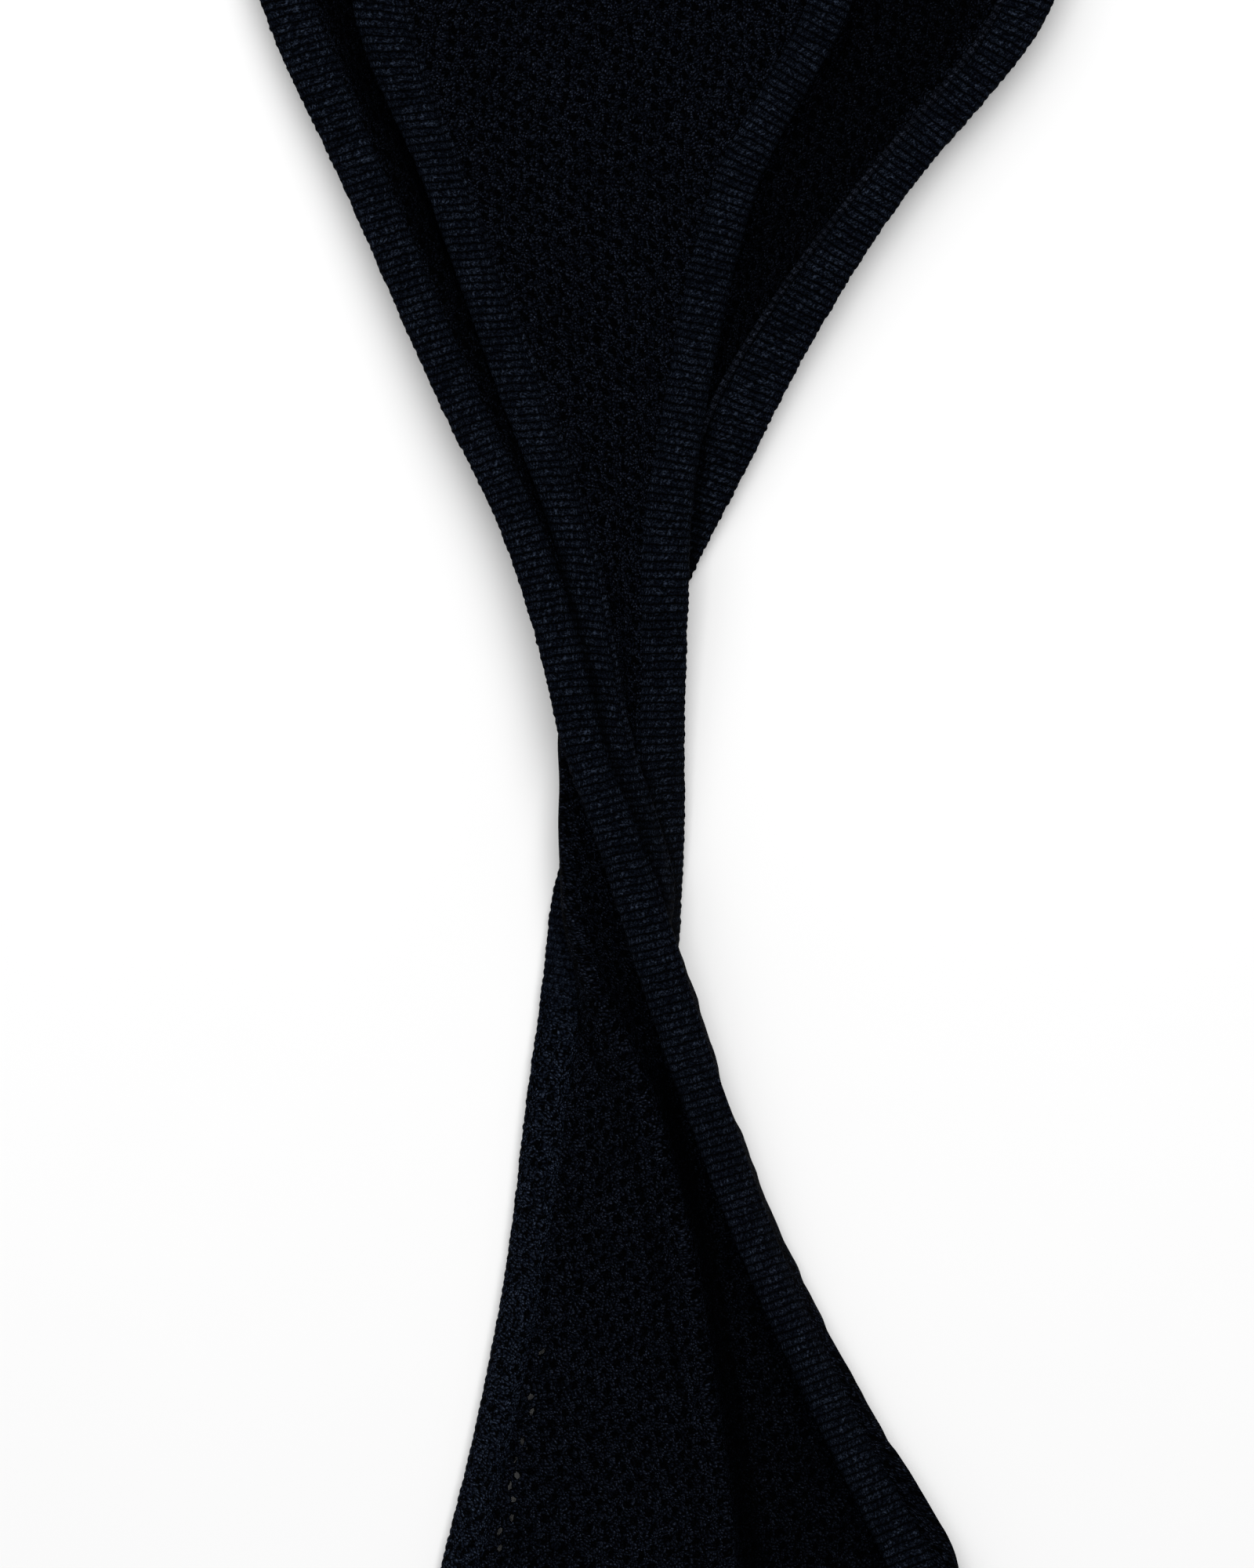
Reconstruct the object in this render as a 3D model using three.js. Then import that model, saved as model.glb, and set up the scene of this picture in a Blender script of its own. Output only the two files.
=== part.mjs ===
// A knitted necktie, folded at the neck and laid flat on a table, in millimetres.
// +Y runs to the blade's tip, +Z is up and the table is Z = 0. Half way along, both halves are gathered
// into a narrow waist and given half a turn: above the waist the tail lies on the blade, below it the
// blade lies on the tail. Every strip is a loft of cross-sections that follow the tie's length.
import * as THREE from 'three';

// ---- sizes of the tie ----
const foldedLength = 725;
const bladeWidth = 94;
const tailWidth = 59;
const tailShortfall = 45;
const lowerBladeWidth = 74;
const lowerTailWidth = 50;
const neckWidth = 38;
const neckPieceReach = 60;
const neckFoldHeight = 9;
const bandWidth = 4.9;
const bandThickness = 1.8;
const meshThickness = 1.0;
const seamWidth = 0.7;
const joinSeamWidth = 1.4;
const hemDepth = 8;
const gap = 0.3;
const seamGap = 0.43;
const layerGap = 0.7;
const stackGap = 0.42;
const flatShare = 0.9;

// ---- the gathered waist ----
const waistWidth = 12.2;
const waistHeight = 9;
const waistX = -3.3;
const gatherLength = 24;
const releaseLength = 60;
const gatheredBand = 0.21;
const gatheredSeam = 0.34;
const flatAbove = 115;
const flatBelow = 130;
const stackedBelow = 205;
const lowerBladeX = 4;
const tailX = -1.5;

// ---- the keeper, the label and the tacks ----
const keeperY = 165;
const keeperWidth = 12;
const keeperThickness = 0.7;
const keeperFoot = 2.5;
const keeperEase = 0.4;
const tackWidth = 1.2;
const tackThickness = 0.5;
const labelY = 215;
const labelWidth = 30;
const labelLength = 18;
const labelThickness = 0.3;

const tipY = foldedLength / 2;
const neckY = -foldedLength / 2;
const tailTipY = tipY - tailShortfall;
const joinY = neckY + neckPieceReach;
const tailRest = meshThickness + layerGap + bandThickness / 2;
const stackedRest = bandThickness * 1.5 + stackGap;

const lerp = THREE.MathUtils.lerp;
const smooth = THREE.MathUtils.smoothstep;

// How a band's and a seam's half thickness change over their width, as [share of the width, fullness].
const tubeShares = [[0, 0.35], [0.16, 1], [0.84, 1], [1, 0.35]];
const cordFullness = [0.4, 1, 0.4];
// Thickness left where the knit is gathered at the waist.
const gatheredFullness = { band: 0.85, blade: 0.8, tail: 0.9 };

const finishes = {
  bandKnit: { color: 0x1d2640, roughness: 0.78, metalness: 0 },
  meshKnit: { color: 0x171e34, roughness: 0.9, metalness: 0 },
  thread: { color: 0x232d4a, roughness: 0.7, metalness: 0 },
  woven: { color: 0x20263a, roughness: 0.55, metalness: 0 },
};

const necktie = new THREE.Group();

// ---- cross-sections of the drape through the twist ----
// Each row is one height along the tie. Spread and drift set the width and the middle of what is seen
// there. A band is [across, up, tilt] at the edge it keeps: the inner edge of the blade's left band, the
// outer edges of the tail's left and right bands, and the inner edge of the blade's right band. Folds are
// the blade's mesh as [across, up], and sag is how far the tail's mesh hangs between its bands. Across runs
// from -1 to 1 over the width, and up from 0, lying on the table, to 1, the top of the waist. Tilt turns
// from 0 to -180 degrees with the half turn.
const twistRows = [
  {
    y: 79, spread: 0.79, drift: 3.3, sag: 0.07,
    bands: [[-0.846, 0.449, -2], [-0.754, 0.366, -3], [0.474, 0.36, -2], [0.876, 0.5, 3]],
    folds: [[-0.78, 0.16], [-0.35, 0.01], [0.44, 0]],
  },
  {
    y: 41, spread: 0.26, drift: -0.9, sag: 0.14,
    bands: [[-0.732, 0.712, 3], [-0.558, 0.65, -5], [0.548, 0.46, -8], [0.741, 0.27, 0]],
    folds: [[-0.66, 0.34], [-0.37, 0.05], [0.3, 0.01]],
  },
  {
    y: 26, spread: 0.09, drift: -1.6, sag: 0.16,
    bands: [[-0.621, 0.813, 12], [-0.352, 0.79, 0], [0.726, 0.571, -18], [0.629, 0.112, -8]],
    folds: [[-0.49, 0.44], [-0.29, 0.12], [0.23, 0.09]],
  },
  {
    y: 15, spread: 0.01, drift: -0.5, sag: 0.03,
    bands: [[-0.575, 0.854, 20], [-0.297, 0.84, 0], [0.871, 0.458, -40], [0.2, 0.179, -30]],
    folds: [[-0.51, 0.53], [-0.64, 0.34], [-0.22, 0.27]],
  },
  {
    y: 0, spread: 0, drift: 0, sag: 0,
    bands: [[-0.022, 0.678, -45], [0.148, 0.921, -35], [0.802, 0.122, -95], [-0.382, 0.232, -135]],
    folds: [[-0.13, 0.52], [-0.8, 0.53], [-0.62, 0.4]],
  },
  {
    y: -7, spread: 0, drift: -0.3, sag: 0,
    bands: [[0.234, 0.634, -100], [0.698, 0.848, -95], [0.38, 0.033, -155], [-0.525, 0.093, -168]],
    folds: [[0.13, 0.47], [-0.68, 0.54], [-0.54, 0.33]],
  },
  {
    y: -15, spread: 0.02, drift: -0.65, sag: 0,
    bands: [[0.489, 0.588, -135], [0.96, 0.439, -150], [-0.175, 0.004, -178], [-0.566, 0.064, -175]],
    folds: [[0.24, 0.41], [-0.37, 0.55], [-0.5, 0.28]],
  },
  {
    y: -26, spread: 0.08, drift: 0.5, sag: 0,
    bands: [[0.595, 0.527, -168], [0.928, 0.126, -178], [-0.468, 0, -180], [-0.652, 0.026, -178]],
    folds: [[0.33, 0.34], [0.06, 0.53], [-0.52, 0.32]],
  },
  {
    y: -41, spread: 0.18, drift: 2.75, sag: 0,
    bands: [[0.645, 0.444, -176], [0.935, 0.06, -180], [-0.555, 0, -180], [-0.685, 0.018, -178]],
    folds: [[0.43, 0.28], [0.23, 0.51], [-0.58, 0.29]],
  },
  {
    y: -71, spread: 0.46, drift: 7.7, sag: 0,
    bands: [[0.742, 0.299, -178], [0.988, 0.01, -180], [-0.658, 0, -180], [-0.802, 0.01, -180]],
    folds: [[0.41, 0.26], [0.11, 0.46], [-0.69, 0.28]],
  },
  {
    y: -96, spread: 0.63, drift: 8, sag: 0,
    bands: [[0.843, 0.265, -179], [0.767, 0, -180], [-0.657, 0, -180], [-0.843, 0.01, -180]],
    folds: [[0.62, 0.32], [0.05, 0.38], [-0.71, 0.29]],
  },
];

// The flat rows far from the twist are worked out from the widths. Where the blade lies over the tail, its
// edges reach down to the table as far as they overhang the tail.
function flatRow(y, blade, tail, turned) {
  const side = turned ? -1 : 1;
  const tilt = turned ? -180 : 0;
  const bladeInner = blade.width / 2 - bandWidth;
  const meshHalf = bladeInner - seamWidth - 2 * seamGap;
  const overhang = THREE.MathUtils.clamp((meshHalf - tail.width / 2) / bandWidth, 0, 1);
  const bladeBand = turned ? lerp(stackedRest, bandThickness / 2, overhang) : bandThickness / 2;
  const fold = turned ? Math.min(tail.width / 2 + gap, meshHalf * flatShare) : meshHalf * flatShare;
  return {
    y,
    bands: [
      [blade.x - side * bladeInner, bladeBand, tilt],
      [tail.x - side * tail.width / 2, tail.bandRest, tilt],
      [tail.x + side * tail.width / 2, tail.bandRest, tilt],
      [blade.x + side * bladeInner, bladeBand, tilt],
    ],
    folds: [-1, 0, 1].map((s) => [blade.x + side * s * fold, blade.meshRest]),
    sag: 0,
  };
}

// A row of shares, turned into millimetres.
function drapedRow(row) {
  const half = lerp(waistWidth, bladeWidth, row.spread) / 2;
  const place = ([across, up, tilt], rest) =>
    [waistX + row.drift + across * half, lerp(rest, waistHeight, up), tilt];
  return {
    y: row.y,
    bands: row.bands.map((band) => place(band, bandThickness / 2)),
    folds: row.folds.map((line) => place(line, meshThickness / 2)),
    sag: row.sag * waistHeight,
  };
}

const upperBlade = { x: 0, width: bladeWidth, meshRest: meshThickness / 2 };
const upperTail = { x: tailX, width: tailWidth, bandRest: tailRest };
const lowerTail = { x: lowerBladeX, width: lowerTailWidth, bandRest: bandThickness / 2 };
const lowerBlade = { x: lowerBladeX, width: lowerBladeWidth, meshRest: stackedRest };
const neckBlade = { x: 0, width: neckWidth, meshRest: stackedRest };
const neckTail = { x: 0, width: neckWidth, bandRest: bandThickness / 2 };
const stackedShare = (stackedBelow - flatBelow) / (-joinY - flatBelow);

function partWay(from, to, share) {
  return { ...to, x: lerp(from.x, to.x, share), width: lerp(from.width, to.width, share) };
}

const rows = [
  flatRow(tipY, upperBlade, upperTail, false),
  flatRow(flatAbove, upperBlade, upperTail, false),
  ...twistRows.map(drapedRow),
  flatRow(-flatBelow, lowerBlade, lowerTail, true),
  flatRow(
    -stackedBelow,
    partWay(lowerBlade, neckBlade, stackedShare),
    partWay(lowerTail, neckTail, stackedShare),
    true,
  ),
  flatRow(joinY, neckBlade, neckTail, true),
].sort((a, b) => a.y - b.y);

// A smooth curve through the rows that never overshoots them.
function follow(pick) {
  const ys = rows.map((row) => row.y);
  const values = rows.map(pick);
  const last = ys.length - 1;
  const slope = (i) => (values[i + 1] - values[i]) / (ys[i + 1] - ys[i]);
  const tangents = ys.map((_, i) => {
    if (i === 0) return slope(0);
    if (i === last) return slope(last - 1);
    const before = slope(i - 1);
    const after = slope(i);
    return before * after <= 0 ? 0 : (2 * before * after) / (before + after);
  });
  return (y) => {
    let i = 0;
    while (i < last - 1 && y > ys[i + 1]) i += 1;
    const span = ys[i + 1] - ys[i];
    const t = (y - ys[i]) / span;
    return (
      values[i] * (1 + 2 * t) * (1 - t) ** 2 + tangents[i] * span * t * (1 - t) ** 2
      + values[i + 1] * t * t * (3 - 2 * t) + tangents[i + 1] * span * t * t * (t - 1)
    );
  };
}

const followPoint = (group, index) => [0, 1].map((axis) => follow((row) => row[group][index][axis]));
const bandPlaces = [0, 1, 2, 3].map((index) => followPoint('bands', index));
const bandTilts = [0, 1, 2, 3].map((index) => follow((row) => row.bands[index][2]));
const bladeFolds = [0, 1, 2].map((index) => followPoint('folds', index));
const tailSag = follow((row) => row.sag);

// How far the knit is gathered at a height: 1 inside the waist, 0 where it lies free.
const gather = (y) => 1 - smooth(Math.abs(y), gatherLength, releaseLength);

// The edge that each band keeps when bands are made wider: 1 is its right edge as it lies above the waist.
const keptEdges = [1, -1, 1, -1];

// The two edges of a band at a height, left one first as it lies above the waist.
function bandEdges(index, y) {
  const [x, z] = bandPlaces[index].map((place) => place(y));
  const tilt = THREE.MathUtils.degToRad(bandTilts[index](y));
  const side = keptEdges[index];
  const width = lerp(bandWidth, waistWidth * gatheredBand, gather(y));
  const across = new THREE.Vector2(Math.cos(tilt), Math.sin(tilt));
  const kept = new THREE.Vector2(x, z);
  const other = kept.clone().addScaledVector(across, -side * width);
  return side > 0 ? [other, kept] : [kept, other];
}

// ---- lofting ----

// The outline of a strip, a chain of points thickened on both sides: [point, half thickness].
function stripOutline(chain) {
  const normals = chain.map((_, i) => {
    const before = chain[Math.max(i - 1, 0)][0];
    const after = chain[Math.min(i + 1, chain.length - 1)][0];
    const along = after.clone().sub(before).normalize();
    return new THREE.Vector2(-along.y, along.x);
  });
  const shifted = (side) => chain.map(([point, half], i) =>
    point.clone().addScaledVector(normals[i], side * half));
  return { above: shifted(1), below: shifted(-1) };
}

// A closed solid from matching outlines, each placed in space by its own function.
function loft(sections) {
  const rungs = sections[0].above.length;
  const ring = rungs * 2;
  const positions = [];
  sections.forEach(({ above, below, place }) => {
    [...above, ...below].forEach((point) => positions.push(...place(point)));
  });
  const corner = (section, rung, side) => section * ring + side * rungs + rung;
  const faces = [];
  const quad = (a, b, c, d) => faces.push(a, b, c, a, c, d);
  const last = sections.length - 1;
  for (let s = 0; s < last; s += 1) {
    for (let r = 0; r < rungs - 1; r += 1) {
      quad(corner(s, r, 0), corner(s + 1, r, 0), corner(s + 1, r + 1, 0), corner(s, r + 1, 0));
      quad(corner(s, r, 1), corner(s, r + 1, 1), corner(s + 1, r + 1, 1), corner(s + 1, r, 1));
    }
    quad(corner(s, 0, 0), corner(s, 0, 1), corner(s + 1, 0, 1), corner(s + 1, 0, 0));
    quad(corner(s, rungs - 1, 0), corner(s + 1, rungs - 1, 0), corner(s + 1, rungs - 1, 1),
      corner(s, rungs - 1, 1));
  }
  for (let r = 0; r < rungs - 1; r += 1) {
    quad(corner(0, r, 0), corner(0, r + 1, 0), corner(0, r + 1, 1), corner(0, r, 1));
    quad(corner(last, r, 0), corner(last, r, 1), corner(last, r + 1, 1), corner(last, r + 1, 0));
  }
  const geometry = new THREE.BufferGeometry();
  geometry.setAttribute('position', new THREE.Float32BufferAttribute(positions, 3));
  geometry.setIndex(faces);
  return turnedOutward(geometry);
}

// Turns every face over if the solid's signed volume is negative.
function turnedOutward(geometry) {
  const position = geometry.getAttribute('position');
  const index = [...geometry.getIndex().array];
  const corners = [0, 1, 2].map(() => new THREE.Vector3());
  let volume = 0;
  for (let i = 0; i < index.length; i += 3) {
    corners.forEach((v, k) => v.fromBufferAttribute(position, index[i + k]));
    volume += corners[0].dot(corners[1].cross(corners[2]));
  }
  if (volume < 0) index.reverse();
  geometry.setIndex(index);
  geometry.computeVertexNormals();
  return geometry;
}

function addPiece(name, geometry, finish) {
  const mesh = new THREE.Mesh(geometry, new THREE.MeshStandardMaterial(finishes[finish]));
  mesh.name = name;
  necktie.add(mesh);
}

// Heights of the sections between two ends: close in the twist and wider apart where the tie lies flat.
function heights(from, to) {
  const inner = [];
  const step = (y) => {
    const away = Math.abs(y);
    if (away < gatherLength) return 3;
    if (away < releaseLength) return 6;
    return away < flatBelow ? 12 : 45;
  };
  for (let y = step(0); y < to; y += step(y)) inner.push(y);
  for (let y = -step(0); y > from; y -= step(y)) inner.push(y);
  const least = 1.5;
  const kept = [0, ...inner].filter((y) => y > from + least && y < to - least);
  return [from, ...kept, to].sort((a, b) => a - b);
}

const uprightAt = (y) => (point) => [point.x, y, point.y];

function loftAlong(ys, outlineAt) {
  return loft(ys.map((y) => ({ ...outlineAt(y), place: uprightAt(y) })));
}

// ---- bands, linking seams and mesh panels ----

// A flattened tube between two points, thinner at its edges.
function tubeChain(from, to, thickness) {
  return tubeShares.map(([t, fullness]) => [from.clone().lerp(to, t), (thickness / 2) * fullness]);
}

function addBand(name, index, from, to) {
  addPiece(name, loftAlong(heights(from, to), (y) => {
    const [left, right] = bandEdges(index, y);
    const thickness = bandThickness * lerp(1, gatheredFullness.band, gather(y));
    return stripOutline(tubeChain(left, right, thickness));
  }), 'bandKnit');
}

// Where a panel's mesh starts beside a band: past the linking seam, on the way to its first fold.
function besideBand(edge, farEdge, nextFold, y) {
  const onward = nextFold.clone().sub(edge).normalize();
  const outward = edge.clone().sub(farEdge).normalize().add(onward).normalize();
  const cord = lerp(seamWidth, gatheredSeam, gather(y));
  const seam = edge.clone().addScaledVector(outward, seamGap + cord / 2);
  return { cord, seam, outward, mesh: seam.clone().addScaledVector(onward, cord / 2 + seamGap) };
}

// The mesh of the blade runs over its fold lines; the mesh of the tail sags between its bands.
function layerAt(layer, y) {
  const [leftFar, leftEdge] = bandEdges(layer.bands[0], y);
  const [rightEdge, rightFar] = bandEdges(layer.bands[1], y);
  const sagged = (share) => {
    const point = leftEdge.clone().lerp(rightEdge, share);
    point.y -= tailSag(y);
    return point;
  };
  const folds = layer.folds
    ? layer.folds.map((fold) => new THREE.Vector2(...fold.map((place) => place(y))))
    : [sagged(0.45), sagged(0.55)];
  return {
    folds,
    left: besideBand(leftEdge, leftFar, folds[0], y),
    right: besideBand(rightEdge, rightFar, folds[folds.length - 1], y),
  };
}

function addLinkingSeam(name, layer, side, from, to) {
  addPiece(name, loftAlong(heights(from, to), (y) => {
    const { seam, cord, outward } = layerAt(layer, y)[side];
    const reach = outward.clone().multiplyScalar(cord / 2);
    const ends = [seam.clone().sub(reach), seam.clone(), seam.clone().add(reach)];
    return stripOutline(ends.map((end, i) => [end, (cord / 2) * cordFullness[i]]));
  }), 'thread');
}

function addMeshPanel(name, layer, from, to) {
  addPiece(name, loftAlong(heights(from, to), (y) => {
    const { folds, left, right } = layerAt(layer, y);
    const half = (meshThickness / 2) * lerp(1, layer.fullness, gather(y));
    return stripOutline([left.mesh, ...folds, right.mesh].map((point) => [point, half]));
  }), 'meshKnit');
}

// The turned hem of a tip closes the mesh between its two bands.
function addTipHem(name, layer, tip) {
  const ys = [tip - hemDepth + gap, tip];
  addPiece(name, loftAlong(ys, (y) => {
    const { left, right } = layerAt(layer, y);
    const rest = layer.hemRest;
    const chain = [left.mesh, right.mesh].map((end) => [new THREE.Vector2(end.x, rest), bandThickness / 2]);
    return stripOutline(chain);
  }), 'bandKnit');
}

// A bar of stitches across the corner where the band meets the hem.
function addCornerTack(name, layer, side, tip) {
  const { left, right } = layerAt(layer, tip);
  const seam = side === 'left' ? left.seam : right.seam;
  const rise = layer.hemRest + bandThickness / 2 + gap + tackThickness / 2;
  const centre = new THREE.Vector3(seam.x, tip - hemDepth / 2, rise);
  const bar = new THREE.BoxGeometry(bandWidth, tackWidth, tackThickness);
  bar.translate(centre.x, centre.y, centre.z);
  addPiece(name, bar, 'thread');
}

const bladeRest = bandThickness / 2;
const blade = { bands: [0, 3], folds: bladeFolds, fullness: gatheredFullness.blade, hemRest: bladeRest };
const tail = { bands: [1, 2], fullness: gatheredFullness.tail, hemRest: tailRest };
const seamStart = joinY + joinSeamWidth / 2 + gap;

function addHalf(name, layer, tip) {
  addMeshPanel(`${name}_mesh_panel`, layer, seamStart, tip - hemDepth);
  addBand(`${name}_left_band`, layer.bands[0], seamStart, tip);
  addBand(`${name}_right_band`, layer.bands[1], seamStart, tip);
  addLinkingSeam(`${name}_left_linking_seam`, layer, 'left', seamStart, tip);
  addLinkingSeam(`${name}_right_linking_seam`, layer, 'right', seamStart, tip);
  addTipHem(`${name}_tip_hem`, layer, tip);
  addCornerTack(`${name}_left_corner_tack`, layer, 'left', tip);
  addCornerTack(`${name}_right_corner_tack`, layer, 'right', tip);
}

addHalf('blade', blade, tipY);
addHalf('tail', tail, tailTipY);

// ---- the neck piece, folded back under itself ----

// Its middle line from the blade's join, round the soft fold at the neck, to the tail's join.
function neckLine() {
  const low = bandThickness / 2;
  const high = neckFoldHeight - bandThickness / 2;
  const radius = (high - low) / 2;
  const turnY = neckY + bandThickness / 2 + radius;
  const start = joinY - joinSeamWidth / 2 - gap;
  const rise = [0, 1, 2, 3, 4, 5, 6].map((i) => {
    const t = i / 6;
    return [lerp(start, turnY, t), lerp(stackedRest, high, smooth(t, 0.35, 1))];
  });
  const turn = [1, 2, 3, 4, 5, 6, 7].map((i) => {
    const angle = (Math.PI * i) / 8;
    return [turnY - radius * Math.sin(angle), low + radius + radius * Math.cos(angle)];
  });
  const back = [[turnY, low], [lerp(turnY, start, 0.5), low], [start, low]];
  return [...rise, ...turn, ...back].map(([y, z]) => new THREE.Vector2(y, z));
}

// A strip of the neck piece: its edges across the tie and its thickness, carried along the middle line.
function addNeckStrip(name, edges, halves, finish) {
  const line = neckLine();
  const sections = line.map((middle, i) => {
    const before = line[Math.max(i - 1, 0)];
    const after = line[Math.min(i + 1, line.length - 1)];
    const along = after.clone().sub(before).normalize();
    const outline = stripOutline(edges.map((x, k) => [new THREE.Vector2(x, 0), halves[k]]));
    const place = (point) => [
      point.x,
      middle.x + along.y * point.y,
      middle.y - along.x * point.y,
    ];
    return { ...outline, place };
  });
  addPiece(name, loft(sections), finish);
}

const neckBandInner = neckWidth / 2 - bandWidth;
const neckMeshEdge = neckBandInner - seamWidth - 2 * seamGap;
const halfBand = bandThickness / 2;
const halfSeam = seamWidth / 2;
addNeckStrip('neck_panel', [-neckMeshEdge, neckMeshEdge], [meshThickness / 2, meshThickness / 2], 'meshKnit');
[['left', -1], ['right', 1]].forEach(([side, sign]) => {
  const bandHalves = tubeShares.map(([, fullness]) => halfBand * fullness);
  const across = tubeShares.map(([share]) => sign * (neckBandInner + share * bandWidth));
  const ordered = sign > 0 ? across : across.reverse();
  addNeckStrip(`neck_${side}_band`, ordered, bandHalves, 'bandKnit');
  const seamX = sign * (neckBandInner - seamGap - halfSeam);
  const seamEdges = [seamX - halfSeam, seamX, seamX + halfSeam];
  const seamHalves = cordFullness.map((fullness) => halfSeam * fullness);
  addNeckStrip(`neck_${side}_linking_seam`, seamEdges, seamHalves, 'thread');
});

// Ribs that join the neck piece to the blade and to the tail, right across the tie.
function addJoinSeam(name, rest) {
  const ys = [joinY - joinSeamWidth / 2, joinY + joinSeamWidth / 2];
  const ends = [-neckWidth / 2, neckWidth / 2].map((x) => [new THREE.Vector2(x, rest), halfBand]);
  addPiece(name, loftAlong(ys, () => stripOutline(ends)), 'thread');
}

addJoinSeam('blade_neck_join_seam', stackedRest);
addJoinSeam('tail_neck_join_seam', halfBand);

// ---- the keeper that the tail slips through, on the back of the blade ----

const keeperTop = tailRest + halfBand + keeperEase + keeperThickness / 2;
const keeperInner = tailWidth / 2 + keeperEase + keeperThickness / 2;
const keeperOuter = tailWidth / 2 + keeperEase + keeperThickness + keeperFoot;
// Its feet lie on the blade's mesh, or on the thicker bands if they reach as far as those.
const flatMesh = (bladeWidth / 2 - bandWidth - seamWidth - 2 * seamGap) * flatShare;
const underFoot = Math.abs(tailX) + keeperOuter < flatMesh ? meshThickness : bandThickness;
const keeperFootRest = underFoot + gap + keeperThickness / 2;

function addKeeper() {
  const right = [[keeperInner, keeperTop], [keeperInner + keeperThickness, keeperFootRest],
    [keeperOuter, keeperFootRest]];
  const left = right.map(([x, z]) => [-x, z]).reverse();
  const chain = [...left, ...right].map(([x, z]) => [new THREE.Vector2(tailX + x, z), keeperThickness / 2]);
  const ys = [keeperY - keeperWidth / 2, keeperY + keeperWidth / 2];
  addPiece('keeper_loop', loftAlong(ys, () => stripOutline(chain)), 'woven');
}

function addKeeperTack(name, sign) {
  const length = keeperWidth * 0.8;
  const bar = new THREE.BoxGeometry(tackWidth, length, tackThickness);
  const x = tailX + sign * (keeperOuter - tackWidth / 2);
  bar.translate(x, keeperY, keeperFootRest + keeperThickness / 2 + gap + tackThickness / 2);
  addPiece(name, bar, 'thread');
}

addKeeper();
addKeeperTack('keeper_left_tack', -1);
addKeeperTack('keeper_right_tack', 1);

// ---- the blank label on the back of the blade, under the tail ----

const label = new THREE.BoxGeometry(labelWidth, labelLength, labelThickness);
label.translate(tailX, labelY, meshThickness + gap + labelThickness / 2);
addPiece('blank_label', label, 'woven');

export default necktie;
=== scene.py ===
import math

import bpy
import numpy as np
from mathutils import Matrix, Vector


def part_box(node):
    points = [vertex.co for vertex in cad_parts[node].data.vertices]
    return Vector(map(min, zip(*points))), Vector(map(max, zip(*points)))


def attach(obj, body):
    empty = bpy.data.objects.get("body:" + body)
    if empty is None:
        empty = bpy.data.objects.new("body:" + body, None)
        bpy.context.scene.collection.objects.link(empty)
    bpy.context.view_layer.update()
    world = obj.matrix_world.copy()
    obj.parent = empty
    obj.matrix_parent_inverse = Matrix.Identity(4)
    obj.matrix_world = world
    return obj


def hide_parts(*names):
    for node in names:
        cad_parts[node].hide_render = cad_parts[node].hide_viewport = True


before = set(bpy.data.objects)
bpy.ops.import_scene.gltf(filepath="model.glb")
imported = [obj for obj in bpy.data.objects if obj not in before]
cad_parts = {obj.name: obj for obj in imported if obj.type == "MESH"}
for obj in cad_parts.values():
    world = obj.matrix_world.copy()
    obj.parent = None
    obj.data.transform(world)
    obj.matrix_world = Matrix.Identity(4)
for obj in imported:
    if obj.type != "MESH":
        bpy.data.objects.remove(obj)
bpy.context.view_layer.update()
mm = 0.001  # every size below is in millimetres
print("frame loaded with", len(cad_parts), "pieces")

# the ends of the tie, taken from the frame
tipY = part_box("blade_tip_hem")[1].y / mm
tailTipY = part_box("tail_tip_hem")[1].y / mm
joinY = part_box("blade_neck_join_seam")[1].y / mm
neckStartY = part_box("blade_neck_join_seam")[0].y / mm
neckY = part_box("neck_panel")[0].y / mm
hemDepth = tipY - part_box("blade_tip_hem")[0].y / mm

studio = {
    "cameraHeight": 1200, "frameLength": 150, "middle": (-2.7, 3.75),
    "floorHalf": 1500, "floorDrop": 0.05, "floorColour": (0.92, 0.92, 0.92, 1), "floorGrain": 60.0,
    "skyStrength": 0.17,
    "keyPower": 9.4, "keyPlace": (70, 260, 900), "keySize": 850,
    "fillPower": 1.6, "fillPlace": (-420, 500, 620), "fillSize": 500,
}


def setCamera():
    data = bpy.data.cameras.new("camera")
    data.sensor_width = 36
    data.lens = data.sensor_width * studio["cameraHeight"] / studio["frameLength"]
    data.clip_start, data.clip_end = 0.01, 20
    camera = bpy.data.objects.new("camera", data)
    x, y = studio["middle"]
    camera.location = (x * mm, y * mm, studio["cameraHeight"] * mm)
    bpy.context.scene.collection.objects.link(camera)
    bpy.context.scene.camera = camera


setCamera()


# a smooth curve through rows of numbers that never overshoots them
def smoothTrack(places, values):
    order = np.argsort(places)
    x = np.asarray(places, float)[order]
    v = np.asarray(values, float)[order]
    slope = np.diff(v) / np.diff(x)
    tangent = np.concatenate([slope[:1], np.zeros(len(x) - 2), slope[-1:]])
    before, after = slope[:-1], slope[1:]
    same = before * after > 0
    tangent[1:-1][same] = (2 * before * after)[same] / (before + after)[same]

    def track(at):
        at = np.asarray(at, float)
        i = np.clip(np.searchsorted(x, at) - 1, 0, len(x) - 2)
        span = x[i + 1] - x[i]
        t = np.clip((at - x[i]) / span, 0, 1)
        return (v[i] * (1 + 2 * t) * (1 - t) ** 2 + tangent[i] * span * t * (1 - t) ** 2
                + v[i + 1] * t * t * (3 - 2 * t) + tangent[i + 1] * span * t * t * (t - 1))

    return track


def unit(v):
    return v / np.maximum(np.linalg.norm(v, axis=-1, keepdims=True), 1e-9)


# smooth random heights from 0 to 1, the same on every run
patch = np.random.default_rng(11).random((128, 128))


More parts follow.
